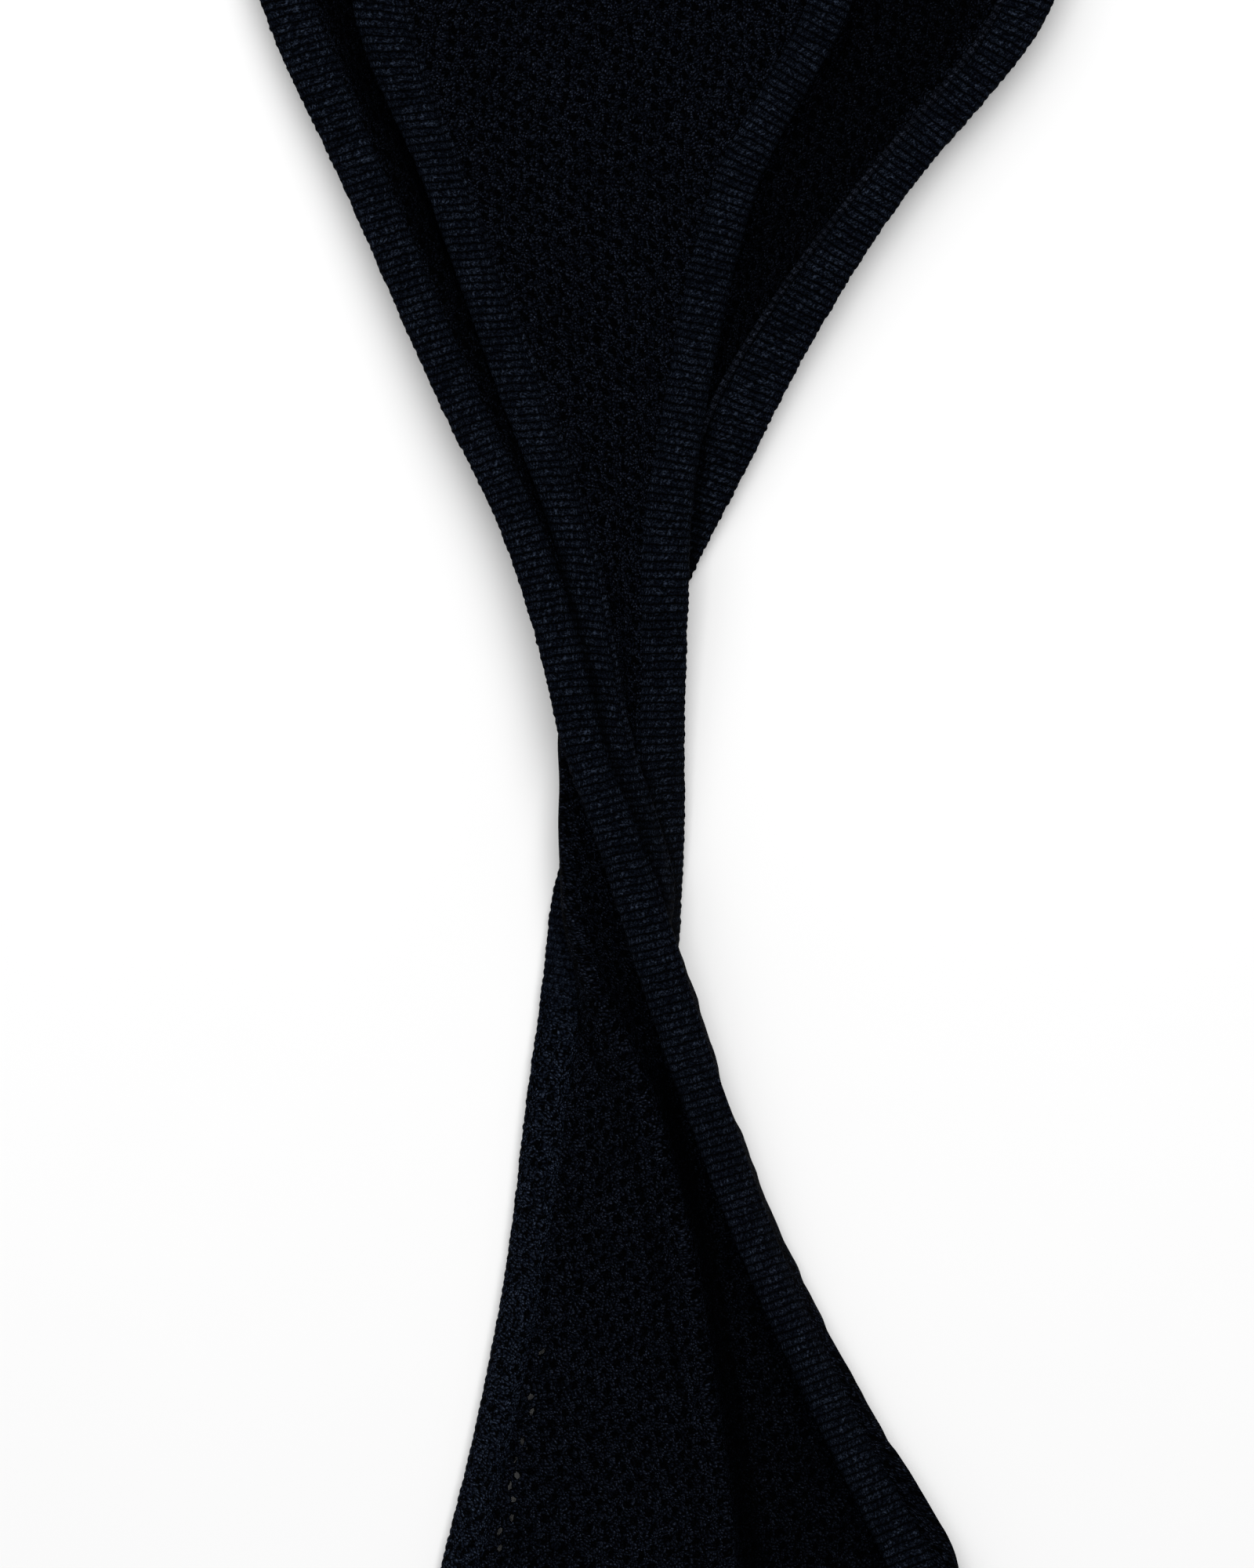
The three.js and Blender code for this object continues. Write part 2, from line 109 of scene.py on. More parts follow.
def softNoise(u, v, size):
    a, b = np.asarray(u, float) / size, np.asarray(v, float) / size
    i, j = np.floor(a).astype(int), np.floor(b).astype(int)
    s, t = a - i, b - j
    s, t = s * s * (3 - 2 * s), t * t * (3 - 2 * t)
    at = lambda p, q: patch[p % 128, q % 128]
    return ((at(i, j) * (1 - s) + at(i + 1, j) * s) * (1 - t)
            + (at(i, j + 1) * (1 - s) + at(i + 1, j + 1) * s) * t)


def makeObject(name, points, faces, cornerPlaces, material):
    mesh = bpy.data.meshes.new(name)
    mesh.from_pydata((np.asarray(points) * mm).tolist(), [], faces)
    layer = mesh.uv_layers.new(name="clothPlace")
    layer.data.foreach_set("uv", np.asarray(cornerPlaces, np.float32).ravel())
    mesh.polygons.foreach_set("use_smooth", np.ones(len(mesh.polygons), bool))
    mesh.materials.append(material)
    piece = bpy.data.objects.new(name, mesh)
    bpy.context.scene.collection.objects.link(piece)
    return piece


# a round-edged tube swept along a line, with its sides, thickness and tilt given at every step
def sweptTube(name, line, half, thick, tilt, around, relief, material, side=None, roundness=0.75, skew=0):
    along = unit(np.gradient(line, axis=0))
    if side is None:
        side = unit(np.cross(along, (0, 0, 1)))
    else:
        side = np.broadcast_to(np.asarray(side, float), line.shape)
    up = np.cross(side, along)
    turn = np.radians(tilt)[:, None]
    across = side * np.cos(turn) + up * np.sin(turn)
    over = -side * np.sin(turn) + up * np.cos(turn)
    angle = np.linspace(-math.pi / 2, 1.5 * math.pi, around, endpoint=False)
    ca = np.sign(np.cos(angle)) * np.abs(np.cos(angle)) ** roundness
    sa = np.sign(np.sin(angle)) * np.abs(np.sin(angle)) ** roundness
    length = np.concatenate([[0], np.cumsum(np.linalg.norm(np.diff(line, axis=0), axis=1))])
    inset = relief(length[:, None], angle[None, :])
    ends = np.minimum(length, length[-1] - length)[:, None]
    close = np.sqrt(np.clip(ends / 0.35, 0.05, 1))
    a = half[:, None] * close * ca[None] - inset * np.cos(angle)[None]
    b = thick[:, None] / 2 * close * sa[None] - inset * np.sin(angle)[None]
    ring = (line[:, None] + across[:, None] * a[..., None] + over[:, None] * b[..., None]
            + along[:, None] * (skew * a)[..., None])
    steps = len(line)
    s, r = np.meshgrid(np.arange(steps - 1), np.arange(around), indexing="ij")
    nextR = (r + 1) % around
    quads = np.stack([s * around + r, s * around + nextR, (s + 1) * around + nextR, (s + 1) * around + r],
                     -1).reshape(-1, 4)
    girth = 2 * math.pi * math.sqrt((half.max() ** 2 + (thick.max() / 2) ** 2) / 2)
    u = girth / around
    cornerU = np.stack([r, r + 1, r + 1, r], -1) * u
    cornerV = np.stack([length[s], length[s], length[s + 1], length[s + 1]], -1)
    corners = np.stack([cornerU, cornerV], -1).reshape(-1, 2)
    caps = [list(range(around))[::-1], [(steps - 1) * around + k for k in range(around)]]
    corners = np.concatenate([corners, np.zeros((2 * around, 2))])
    return makeObject(name, ring.reshape(-1, 3), quads.tolist() + caps, corners, material)


# steps of one even length along a line given by its sections
def evenSteps(line, step):
    length = np.concatenate([[0], np.cumsum(np.linalg.norm(np.diff(line, axis=0), axis=1))])
    count = max(int(length[-1] / step), 4)
    return np.interp(np.linspace(0, length[-1], count + 1), length, np.arange(len(line)))


# a value kept at every point of a piece, for its material to read
def markPoints(piece, mark, value):
    layer = piece.data.attributes.new(mark, "FLOAT", "POINT")
    layer.data.foreach_set("value", value.astype(np.float32))


# a closed sheet from a grid of points, with the place of every point in the flat cloth
def closedSheet(name, grid, place, thickness, relief, material, marks=None):
    alongA = np.gradient(grid, axis=0)
    alongB = np.gradient(grid, axis=1)
    normal = unit(np.cross(alongB, alongA))
    if normal[..., 2].mean() < 0:
        normal = -normal
    over = grid + normal * (thickness / 2 + relief)[..., None]
    under = grid - normal * (thickness / 2)[..., None]
    rows, cols = grid.shape[:2]
    count = rows * cols
    points = np.concatenate([over.reshape(-1, 3), under.reshape(-1, 3)])
    i, j = np.meshgrid(np.arange(rows - 1), np.arange(cols - 1), indexing="ij")
    a = (i * cols + j).ravel()
    top = np.stack([a, a + 1, a + cols + 1, a + cols], -1)
    base = top[:, ::-1] + count
    rim = [np.arange(cols), np.arange(cols) + (rows - 1) * cols,
           np.arange(rows) * cols, np.arange(rows) * cols + cols - 1]
    walls = []
    for edge, flip in zip(rim, (False, True, True, False)):
        p, q = edge[:-1], edge[1:]
        wall = np.stack([q, p, p + count, q + count], -1)
        walls.append(wall[:, ::-1] if flip else wall)
    faces = np.concatenate([top, base, *walls])
    flat = np.concatenate([place.reshape(-1, 2)] * 2)
    piece = makeObject(name, points, faces.tolist(), flat[faces.ravel()], material)
    for mark, value in (marks or {}).items():
        markPoints(piece, mark, np.concatenate([value.ravel()] * 2))
    return piece


# helpers for building the shaders
def addNode(tree, kind, **settings):
    node = tree.nodes.new(kind)
    for name, value in settings.items():
        setattr(node, name, value)
    return node


def feed(tree, socket, value):
    if isinstance(value, bpy.types.NodeSocket):
        tree.links.new(value, socket)
    elif value is not None:
        socket.default_value = value


def calc(tree, operation, *values, clamp=False):
    node = addNode(tree, "ShaderNodeMath", operation=operation, use_clamp=clamp)
    for socket, value in zip(node.inputs, values):
        feed(tree, socket, value)
    return node.outputs[0]


def ease(tree, value, low, high, fromLow=0.0, toHigh=1.0):
    node = addNode(tree, "ShaderNodeMapRange", interpolation_type="SMOOTHSTEP")
    for name, number in (("Value", value), ("From Min", low), ("From Max", high),
                         ("To Min", fromLow), ("To Max", toHigh)):
        feed(tree, node.inputs[name], number)
    return node.outputs["Result"]


def blendColour(tree, share, first, second, how="MIX"):
    node = addNode(tree, "ShaderNodeMix", data_type="RGBA", blend_type=how, clamp_factor=True)
    feed(tree, node.inputs[0], share)
    feed(tree, node.inputs[6], first)
    feed(tree, node.inputs[7], second)
    return node.outputs[2]


def between(tree, share, first, second):
    node = addNode(tree, "ShaderNodeMix", data_type="FLOAT", clamp_factor=True)
    for socket, value in zip((node.inputs[0], node.inputs[2], node.inputs[3]), (share, first, second)):
        feed(tree, socket, value)
    return node.outputs[0]


def vectorFrom(tree, x, y, z=0.0):
    node = addNode(tree, "ShaderNodeCombineXYZ")
    for socket, value in zip(node.inputs, (x, y, z)):
        feed(tree, socket, value)
    return node.outputs[0]


def parts(tree, vector):
    node = addNode(tree, "ShaderNodeSeparateXYZ")
    feed(tree, node.inputs[0], vector)
    return node.outputs[0], node.outputs[1]


def noiseAt(tree, vector, scale, detail=2.0, roughness=0.5):
    node = addNode(tree, "ShaderNodeTexNoise", noise_dimensions="2D")
    feed(tree, node.inputs["Vector"], vector)
    for name, value in (("Scale", scale), ("Detail", detail), ("Roughness", roughness)):
        feed(tree, node.inputs[name], value)
    return node.outputs[0]


def markOn(tree, mark):
    return addNode(tree, "ShaderNodeAttribute", attribute_name=mark).outputs["Fac"]


def makeGroup(name, inputs, outputs):
    group = bpy.data.node_groups.new(name, "ShaderNodeTree")
    for label, kind, value in inputs:
        socket = group.interface.new_socket(label, in_out="INPUT", socket_type="NodeSocket" + kind)
        if value is not None:
            socket.default_value = value
    for label, kind in outputs:
        group.interface.new_socket(label, in_out="OUTPUT", socket_type="NodeSocket" + kind)
    given = group.nodes.new("NodeGroupInput")
    result = group.nodes.new("NodeGroupOutput")
    return group, given.outputs, result.inputs


# courses of small stitches lying side by side across a band
def buildBandKnit():
    group, given, result = makeGroup("bandKnit", [
        ("Place", "Vector", None), ("Course", "Float", 0.79), ("Stitch", "Float", 0.5),
        ("Wander", "Float", 0.12), ("Lean", "Float", 0.35)],
        [("Height", "Float"), ("Bead", "Float"), ("Groove", "Float"), ("Tone", "Float")])
    u, v = parts(group, given["Place"])
    drift = calc(group, "SUBTRACT", noiseAt(group, given["Place"], 0.7, 3.0, 0.65), 0.5)
    v = calc(group, "MULTIPLY_ADD", drift, given["Wander"], v)
    course = calc(group, "DIVIDE", v, given["Course"])
    row = calc(group, "FLOOR", course)
    rise = calc(group, "ABSOLUTE", calc(group, "SINE", calc(group, "MULTIPLY", course, math.pi)))
    within = calc(group, "SUBTRACT", course, row)
    jitter = calc(group, "MULTIPLY", row, 0.37)
    sway = calc(group, "SUBTRACT", noiseAt(group, given["Place"], 1.4, 3.0, 0.6), 0.5)
    across = calc(group, "DIVIDE", calc(group, "MULTIPLY_ADD", sway, 0.8, u), given["Stitch"])
    across = calc(group, "MULTIPLY_ADD", within, given["Lean"], across)
    across = calc(group, "ADD", across, jitter)
    column = calc(group, "FLOOR", across)
    loop = calc(group, "ABSOLUTE", calc(group, "SINE", calc(group, "MULTIPLY", across, math.pi)))
    chance = addNode(group, "ShaderNodeTexWhiteNoise", noise_dimensions="2D")
    feed(group, chance.inputs["Vector"], vectorFrom(group, row, column))
    fuzz = noiseAt(group, given["Place"], 4.6, 3.0, 0.7)
    bead = calc(group, "MULTIPLY", calc(group, "POWER", rise, 0.7), calc(group, "POWER", loop, 0.45))
    bead = calc(group, "MULTIPLY", bead, ease(group, fuzz, 0.36, 0.62, 0.16, 1.3))
    height = calc(group, "ADD", calc(group, "MULTIPLY", calc(group, "POWER", rise, 0.5), 0.6),
                  calc(group, "MULTIPLY", bead, 0.55))
    feed(group, result["Height"], height)
    feed(group, result["Bead"], bead)
    trough = ease(group, rise, 0.0, 0.4, 0.85, 0.0)
    feed(group, result["Groove"], calc(group, "MULTIPLY", trough, ease(group, fuzz, 0.3, 0.6, 1.0, 0.3)))
    feed(group, result["Tone"], calc(group, "MULTIPLY_ADD", chance.outputs["Value"], 0.46, 0.33))
    return group


# tucked openwork: bright beads of yarn packed at random, with small dark holes in loose rows
def buildOpenKnit():
    group, given, result = makeGroup("openKnit", [
        ("Place", "Vector", None), ("Stitch", "Float", 0.55), ("Hole Spacing", "Float", 2.1),
        ("Hole Size", "Float", 0.2), ("Disorder", "Float", 0.8)],
        [("Height", "Float"), ("Bead", "Float"), ("Hole", "Float"), ("Tone", "Float")])
    swirl = addNode(group, "ShaderNodeTexNoise", noise_dimensions="2D")
    feed(group, swirl.inputs["Vector"], given["Place"])
    for name, value in (("Scale", 0.55), ("Detail", 2.0)):
        feed(group, swirl.inputs[name], value)
    shift = addNode(group, "ShaderNodeVectorMath", operation="MULTIPLY_ADD")
    feed(group, shift.inputs[0], swirl.outputs["Color"])
    feed(group, shift.inputs[1], (0.9, 0.9, 0.0))
    feed(group, shift.inputs[2], given["Place"])
    moved = shift.outputs[0]

    beads = addNode(group, "ShaderNodeTexVoronoi", voronoi_dimensions="2D")
    feed(group, beads.inputs["Vector"], moved)
    feed(group, beads.inputs["Scale"], calc(group, "DIVIDE", 1.0, given["Stitch"]))
    feed(group, beads.inputs["Randomness"], 0.95)
    tone = parts(group, beads.outputs["Color"])[0]
    fuzz = noiseAt(group, given["Place"], 7.0, 3.0, 0.65)
    bead = ease(group, beads.outputs["Distance"], 0.68, 0.1)
    bead = calc(group, "MULTIPLY", bead, ease(group, fuzz, 0.3, 0.66, 0.3, 1.1))

    u, v = parts(group, moved)
    wave = calc(group, "MULTIPLY_ADD", u, 0.55, v)
    holes = addNode(group, "ShaderNodeTexVoronoi", voronoi_dimensions="2D")
    feed(group, holes.inputs["Vector"], vectorFrom(group, u, calc(group, "MULTIPLY", wave, 0.9)))
    feed(group, holes.inputs["Scale"], calc(group, "DIVIDE", 1.0, given["Hole Spacing"]))
    feed(group, holes.inputs["Randomness"], given["Disorder"])
    rag = calc(group, "MULTIPLY_ADD", calc(group, "SUBTRACT", fuzz, 0.5), 0.22, holes.outputs["Distance"])
    hole = ease(group, rag, calc(group, "ADD", given["Hole Size"], 0.09),
                calc(group, "SUBTRACT", given["Hole Size"], 0.05))
    feed(group, result["Height"], calc(group, "SUBTRACT", bead, calc(group, "MULTIPLY", hole, 1.2)))
    feed(group, result["Bead"], bead)
    feed(group, result["Hole"], hole)
    feed(group, result["Tone"], calc(group, "MULTIPLY_ADD", tone, 0.6, 0.28))
    return group


# yarn colour from the bead of each stitch, its own tone and slow changes of tone along the cloth, with
# painted shade between stitches, in grooves and holes and in shaded strips, and a painted highlight (the
# glint) on the crowns of lively stitches
def buildYarnTone():
    group, given, result = makeGroup("yarnTone", [
        ("Place", "Vector", None), ("Bead", "Float", 1.0), ("Tone", "Float", 0.5), ("Dark", "Float", 0.0),
        ("Deep Colour", "Color", (0.001, 0.001, 0.002, 1)),
        ("Yarn Colour", "Color", (0.004, 0.005, 0.009, 1)),
        ("Glint Colour", "Color", (0.03, 0.04, 0.06, 1)), ("Unevenness", "Float", 0.3),
        ("Shade", "Float", 0.0)],
        [("Colour", "Color"), ("Roughness", "Float")])
    # painted shade: between the stitches the colour falls to the deep colour
    body = blendColour(group, given["Bead"], given["Deep Colour"], given["Yarn Colour"])
    # painted highlight: lively stitches take the glint colour on their crowns
    lively = calc(group, "POWER", given["Tone"], 2.5)
    glint = calc(group, "MULTIPLY", lively, calc(group, "POWER", given["Bead"], 2.0), clamp=True)
    colour = blendColour(group, glint, body, given["Glint Colour"])
    slow = noiseAt(group, given["Place"], 0.16, 3.0)
    shade = calc(group, "MULTIPLY_ADD", calc(group, "SUBTRACT", slow, 0.5), given["Unevenness"], 1.0)
    # painted shade from grooves and holes (Dark) and from shaded strips (Shade); a Shade below zero is a
    # painted highlight
    for darkening, share in ((given["Dark"], 0.9), (given["Shade"], 0.9)):
        left = calc(group, "SUBTRACT", 1.0, calc(group, "MULTIPLY", darkening, share))
        shade = calc(group, "MULTIPLY", shade, left)
    feed(group, result["Colour"], blendColour(group, 1.0, colour, vectorFrom(group, shade, shade, shade),
                                              "MULTIPLY"))
    feed(group, result["Roughness"], ease(group, glint, 0.0, 1.0, 0.82, 0.48))
    return group


bandKnit, openKnit, yarnTone = buildBandKnit(), buildOpenKnit(), buildYarnTone()

yarn = {
    "deep": (0.00005, 0.00007, 0.0002, 1),
    "body": (0.0019, 0.0029, 0.0061, 1),
    "glint": (0.030, 0.041, 0.066, 1),
}


def useGroup(tree, group, **values):
    node = addNode(tree, "ShaderNodeGroup", node_tree=group)
    for name, value in values.items():
        feed(tree, node.inputs[name.replace("_", " ")], value)
    return node


def clothMaterial(name, pattern, look, dark):
    material = bpy.data.materials.new(name)
    material.use_nodes = True
    tree = material.node_tree
    shader = next(n for n in tree.nodes if n.type == "BSDF_PRINCIPLED")
    place = addNode(tree, "ShaderNodeUVMap", uv_map="clothPlace").outputs[0]
    knit = useGroup(tree, pattern, Place=place, **look["knit"])
    height, bead, shadow, share = (knit.outputs[name] for name in ("Height", "Bead", dark, "Tone"))
    cast = None  # painted shade on the pieces that carry it, and painted highlight where it falls below zero
    if look.get("slack"):
        slack = markOn(tree, "loose")
        openWork = useGroup(tree, openKnit, Place=place, **look["slack"]).outputs
        height, bead, shadow, share = (between(tree, slack, first, openWork[second]) for first, second in (
            (height, "Height"), (bead, "Bead"), (shadow, "Hole"), (share, "Tone")))
        # painted highlight on slackened stitches, added to the painted shade of the shade mark
        cast = calc(tree, "MULTIPLY_ADD", slack, look["slackPaintedHighlight"], markOn(tree, "shade"))
    elif look.get("open"):
        cast = markOn(tree, "shade")
    tone = useGroup(tree, yarnTone, Place=place, Bead=bead, Tone=share, Dark=shadow, Shade=cast,
                    Deep_Colour=look["deep"], Yarn_Colour=look["body"],
                    Glint_Colour=look["glint"], Unevenness=look["unevenness"])
    feed(tree, shader.inputs["Base Color"], tone.outputs["Colour"])
    feed(tree, shader.inputs["Roughness"], tone.outputs["Roughness"])
    bump = addNode(tree, "ShaderNodeBump")
    feed(tree, bump.inputs["Strength"], look["bump"])
    feed(tree, bump.inputs["Distance"], look["relief"] * mm)
    feed(tree, bump.inputs["Height"], height)
    feed(tree, shader.inputs["Normal"], bump.outputs[0])
    shader.inputs["Specular IOR Level"].default_value = look["shine"]
    shader.inputs["Sheen Weight"].default_value = look["sheen"]
    shader.inputs["Sheen Roughness"].default_value = 0.5
    shader.inputs["Sheen Tint"].default_value = (0.35, 0.5, 0.9, 1)
    if look.get("open"):
        hole = calc(tree, "MULTIPLY", knit.outputs[dark], markOn(tree, "openness"))
        feed(tree, shader.inputs["Alpha"], calc(tree, "SUBTRACT", 1.0, ease(tree, hole, 0.82, 0.96)))
    return material


bandLook = {**yarn, "knit": {"Course": 0.79, "Stitch": 0.34, "Wander": 0.42, "Lean": 0.9},
            "slack": {"Stitch": 0.25, "Hole_Spacing": 1.45, "Hole_Size": 0.2, "Disorder": 0.6},
            "slackPaintedHighlight": -1.1,  # painted highlight: the slackened stretch of the band is drawn lighter
            "unevenness": 0.45, "bump": 0.8, "relief": 0.16, "shine": 0.012, "sheen": 0.001}
meshLook = {**yarn, "knit": {"Stitch": 0.25, "Hole_Spacing": 1.45, "Hole_Size": 0.22, "Disorder": 0.45},
            "body": (0.0025, 0.0037, 0.0076, 1), "glint": (0.043, 0.055, 0.089, 1),
            "unevenness": 0.4, "bump": 0.9, "relief": 0.2, "shine": 0.012, "sheen": 0.001, "open": True}
threadLook = {**bandLook, "slack": None, "body": (0.0018, 0.0024, 0.0048, 1),
              "knit": {"Course": 0.79, "Stitch": 0.3, "Wander": 0.05, "Lean": 1.2},
              "unevenness": 0.2, "relief": 0.08}
bandMaterial = clothMaterial("band knit", bandKnit, bandLook, "Groove")
meshMaterial = clothMaterial("open mesh knit", openKnit, meshLook, "Hole")
threadMaterial = clothMaterial("linking thread", bandKnit, threadLook, "Groove")
# painted highlight: a lighter copy of the linking thread, for the lit crest of the raised seam beside the
# right band
seamHighlightLook = {**threadLook, "body": (0.0045, 0.0058, 0.0100, 1), "glint": (0.034, 0.042, 0.064, 1)}
seamHighlightMaterial = clothMaterial("linking thread with painted highlight", bandKnit, seamHighlightLook, "Groove")
print("materials built")


# four ribbed bands, two for each half of the tie
# rows are (place along the tie, middle, height over the table, tilt, width), the tie's tip first
bands = {
    "blade_left_band": {"inner": 1, "skew": -0.1, "rows": [
        (tipY, -44.5, 0.95, 0, 4.9), (115, -44.5, 0.95, 0, 4.9), (79, -35.3, 4.6, -4, 5.3),
        (60, -27.2, 5.6, -4, 4.6), (41, -18.95, 6.6, -5, 4.3), (26, -12.0, 7.3, -6, 4.2),
        (15, -8.7, 7.7, -4, 4.1), (7.5, -6.95, 7.9, -4, 4.1), (0, -4.1, 8.0, -8, 4.4),
        (-7.5, -1.7, 7.8, -14, 4.4), (-15, 0.6, 7.2, -20, 4.4), (-26, 4.35, 6.4, -34, 4.7),
        (-41, 9.95, 5.6, -36, 4.4), (-56, 16.8, 5.1, -32, 4.4), (-71, 24.6, 5.0, -24, 5.2),
        (-83, 30, 4.4, -50, 4.9), (-100, 34, 2.9, -125, 4.9), (-130, 38.5, 0.95, -180, 4.9),
        (-205, 28.96, 2.99, -180, 4.9), (joinY, 16.55, 3.12, -180, 4.9)]},
    "blade_right_band": {"inner": -1, "skew": 0.1, "under": ["tail_right_band"], "loose": (-6, -110),
        "rows": [
        (tipY, 44.5, 0.95, 0, 4.9), (115, 44.5, 1.8, 0, 4.9), (79, 35.8, 5.2, 5, 5.0),
        (60, 21.6, 5.0, 5, 5.0), (52, 15.9, 4.4, 2, 5.7), (41, 9.3, 3.3, -4, 6.2),
        (33, 5.6, 2.5, -8, 5.4), (26, 2.4, 2.0, -14, 4.6), (15, -1.8, 1.8, -35, 3.0),
        (7.5, -4.4, 1.8, -85, 2.6), (0, -6.6, 1.6, -140, 3.0), (-7.5, -8.0, 1.3, -170, 4.0),
        (-15, -8.6, 1.3, -176, 4.4), (-26, -10.1, 1.9, -160, 4.6), (-41, -12.0, 2.3, -146, 4.8),
        (-56, -14.8, 2.3, -144, 4.8), (-71, -18.4, 2.2, -144, 4.9), (-96, -24.9, 1.5, -160, 4.9),
        (-130, -30.5, 0.95, -180, 4.9), (-205, -24.44, 2.99, -180, 4.9), (joinY, -16.55, 3.12, -180, 4.9)]},
    "tail_left_band": {"inner": 1, "skew": -0.3, "under": ["blade_left_band"], "rows": [
        (tailTipY, -28.55, 2.6, 0, 4.9), (115, -28.55, 2.6, 0, 4.9), (79, -26.5, 3.9, -4, 5.1),
        (60, -19.8, 4.9, -5, 4.0), (41, -12.9, 6.0, -6, 4.3), (26, -7.7, 7.1, -6, 3.6),
        (15, -5.5, 7.4, -8, 3.2), (7.5, -3.9, 7.4, -14, 2.8), (0, -1.3, 7.0, -28, 2.8),
        (-7.5, 0.8, 6.0, -60, 2.6), (-15, 0.2, 2.3, -130, 2.6), (-26, 2.4, 1.4, -160, 2.6),
        (-41, 8.2, 1.1, -178, 3.6), (-56, 15.2, 0.95, -180, 4.6), (-71, 23.6, 0.95, -180, 4.9),
        (-96, 26.9, 0.95, -180, 4.9), (-130, 26.55, 0.95, -180, 4.9), (-205, 22.2, 0.95, -180, 4.9),
        (joinY, 16.55, 0.95, -180, 4.9)]},
    "tail_right_band": {"inner": -1, "skew": 0, "under": ["blade_left_band", "tail_left_band"], "rows": [
        (tailTipY, 25.55, 2.6, 0, 4.9), (115, 25.55, 2.9, 0, 4.9), (79, 16.8, 4.2, -6, 4.6),
        (60, 7.3, 4.6, -8, 4.7), (41, 3.0, 5.2, -14, 4.4), (26, 0.95, 5.9, -16, 4.9),
        (15, 0.75, 4.9, -30, 5.0), (7.5, 0.6, 4.2, -38, 5.4), (0, 0.7, 3.4, -44, 5.6),
        (-7.5, 0.8, 2.7, -54, 5.2), (-11.5, 0.95, 2.3, -62, 4.6),
        (-15.5, -0.8, 1.8, -145, 3.0), (-26, -3.2, 1.0, -178, 2.8),
        (-41, -5.4, 0.95, -180, 3.6), (-56, -7.5, 0.95, -180, 4.6), (-71, -9.7, 0.95, -180, 4.9),
        (-96, -13.9, 0.95, -180, 4.9), (-130, -18.55, 0.95, -180, 4.9), (-205, -17.7, 0.95, -180, 4.9),
        (joinY, -16.55, 0.95, -180, 4.9)]},
}
rib = {
    "pitch": 0.79, "perCourse": 4, "around": 18,  # one course, and the steps along it and round the band
    "depth": 0.13, "lumps": 0.16,
    "thickness": 1.8, "gathered": 1.55,
}
waist = {"tight": 24, "easing": 36}  # gathered this far from the middle, and let out over the next stretch
slackening = {"begins": 14, "ends": 30, "flatter": 0.2}
contact = {"share": 0.85, "inside": 0.5, "outside": 0.55, "gap": 0.3, "reach": (-16, 74)}


def bandTracks(rows):
    columns = list(zip(*rows))
    return [smoothTrack(columns[0], column) for column in columns[1:]]


for spec in bands.values():
    spec["tracks"] = bandTracks(spec["rows"])


def gathering(y):
    t = np.clip((np.abs(y) - waist["tight"]) / waist["easing"], 0, 1)
    return 1 - t * t * (3 - 2 * t)


def ribRelief(length, angle):
    wave = np.abs(np.cos(math.pi * length / rib["pitch"]))
    lumps = softNoise(length + 0 * angle, angle * 2.4 + 20, 0.5) - 0.5
    return rib["depth"] * (1 - wave ** 0.6) + rib["lumps"] * lumps


# how deep in shade each point lies, from strips of (share, rows of (place along the tie, left, right))
# a share below zero brightens
def shadeOn(x, y, strips):
    total = np.zeros(x.shape)
    for share, rows in strips:
        rows = sorted(rows)
        ys = [row[0] for row in rows]
        left = np.interp(y, ys, [row[1] for row in rows])
        right = np.interp(y, ys, [row[2] for row in rows])
        soft = np.minimum(1.2, (right - left) * 0.8)
        inside = np.clip((x - left) / soft + 0.5, 0, 1) * np.clip((right - x) / soft + 0.5, 0, 1)
        ends = np.clip((y - ys[0]) / 8 + 0.6, 0, 1) * np.clip((ys[-1] - y) / 8 + 0.6, 0, 1)
        mark = share * inside * ends
        total = np.maximum(total, mark) if share > 0 else total + mark
    return total


# the shaded strip just right of a band that lies over its neighbour
def contactStrip(name):
    x, z, tilt, width = bands[name]["tracks"]
    y = np.linspace(*contact["reach"], 46)
    edge = x(y) + width(y) / 2 * np.abs(np.cos(np.radians(tilt(y)))) + contact["gap"]
    return contact["share"], list(zip(y, edge - contact["inside"], edge + contact["outside"]))


def makeBand(name, spec):
    x, z, tilt, width = spec["tracks"]
    lastY = spec["rows"][0][0]
    fine = np.linspace(joinY + 0.2, lastY, 6000)
    line = np.stack([x(fine), fine, z(fine)], -1)
    at = evenSteps(line, rib["pitch"] / rib["perCourse"])
    y = np.interp(at, np.arange(len(fine)), fine)
    line = np.stack([x(y), y, z(y)], -1)
    along = unit(np.gradient(line, axis=0))
    half = width(y) / 2 * np.abs(along[:, 1])
    thick = rib["thickness"] + (rib["gathered"] - rib["thickness"]) * gathering(y)
    start, end = spec.get("loose", (-1000, -1000))  # where the stitches slacken into the look of the openwork
    loose = np.clip((start - y) / slackening["begins"], 0, 1) * np.clip((y - end) / slackening["ends"], 0, 1)
    relief = lambda length, angle: ribRelief(length, angle) * (1 - slackening["flatter"] * loose[:, None])
    piece = sweptTube(name + "_knit", line, half, thick, tilt(y), rib["around"], relief, bandMaterial,
                      skew=spec["skew"])
    points = np.empty(len(piece.data.vertices) * 3)
    piece.data.vertices.foreach_get("co", points)
    points = points.reshape(-1, 3) / mm
    strips = [contactStrip(other) for other in spec.get("under", [])]
    # the loose mark also carries the painted highlight of the slackened stretch
    markPoints(piece, "loose", np.repeat(loose, rib["around"]))
    markPoints(piece, "shade", shadeOn(points[:, 0], points[:, 1], strips))
    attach(piece, "root")
    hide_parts(name)


for name, spec in bands.items():
    makeBand(name, spec)
print("bands knitted")


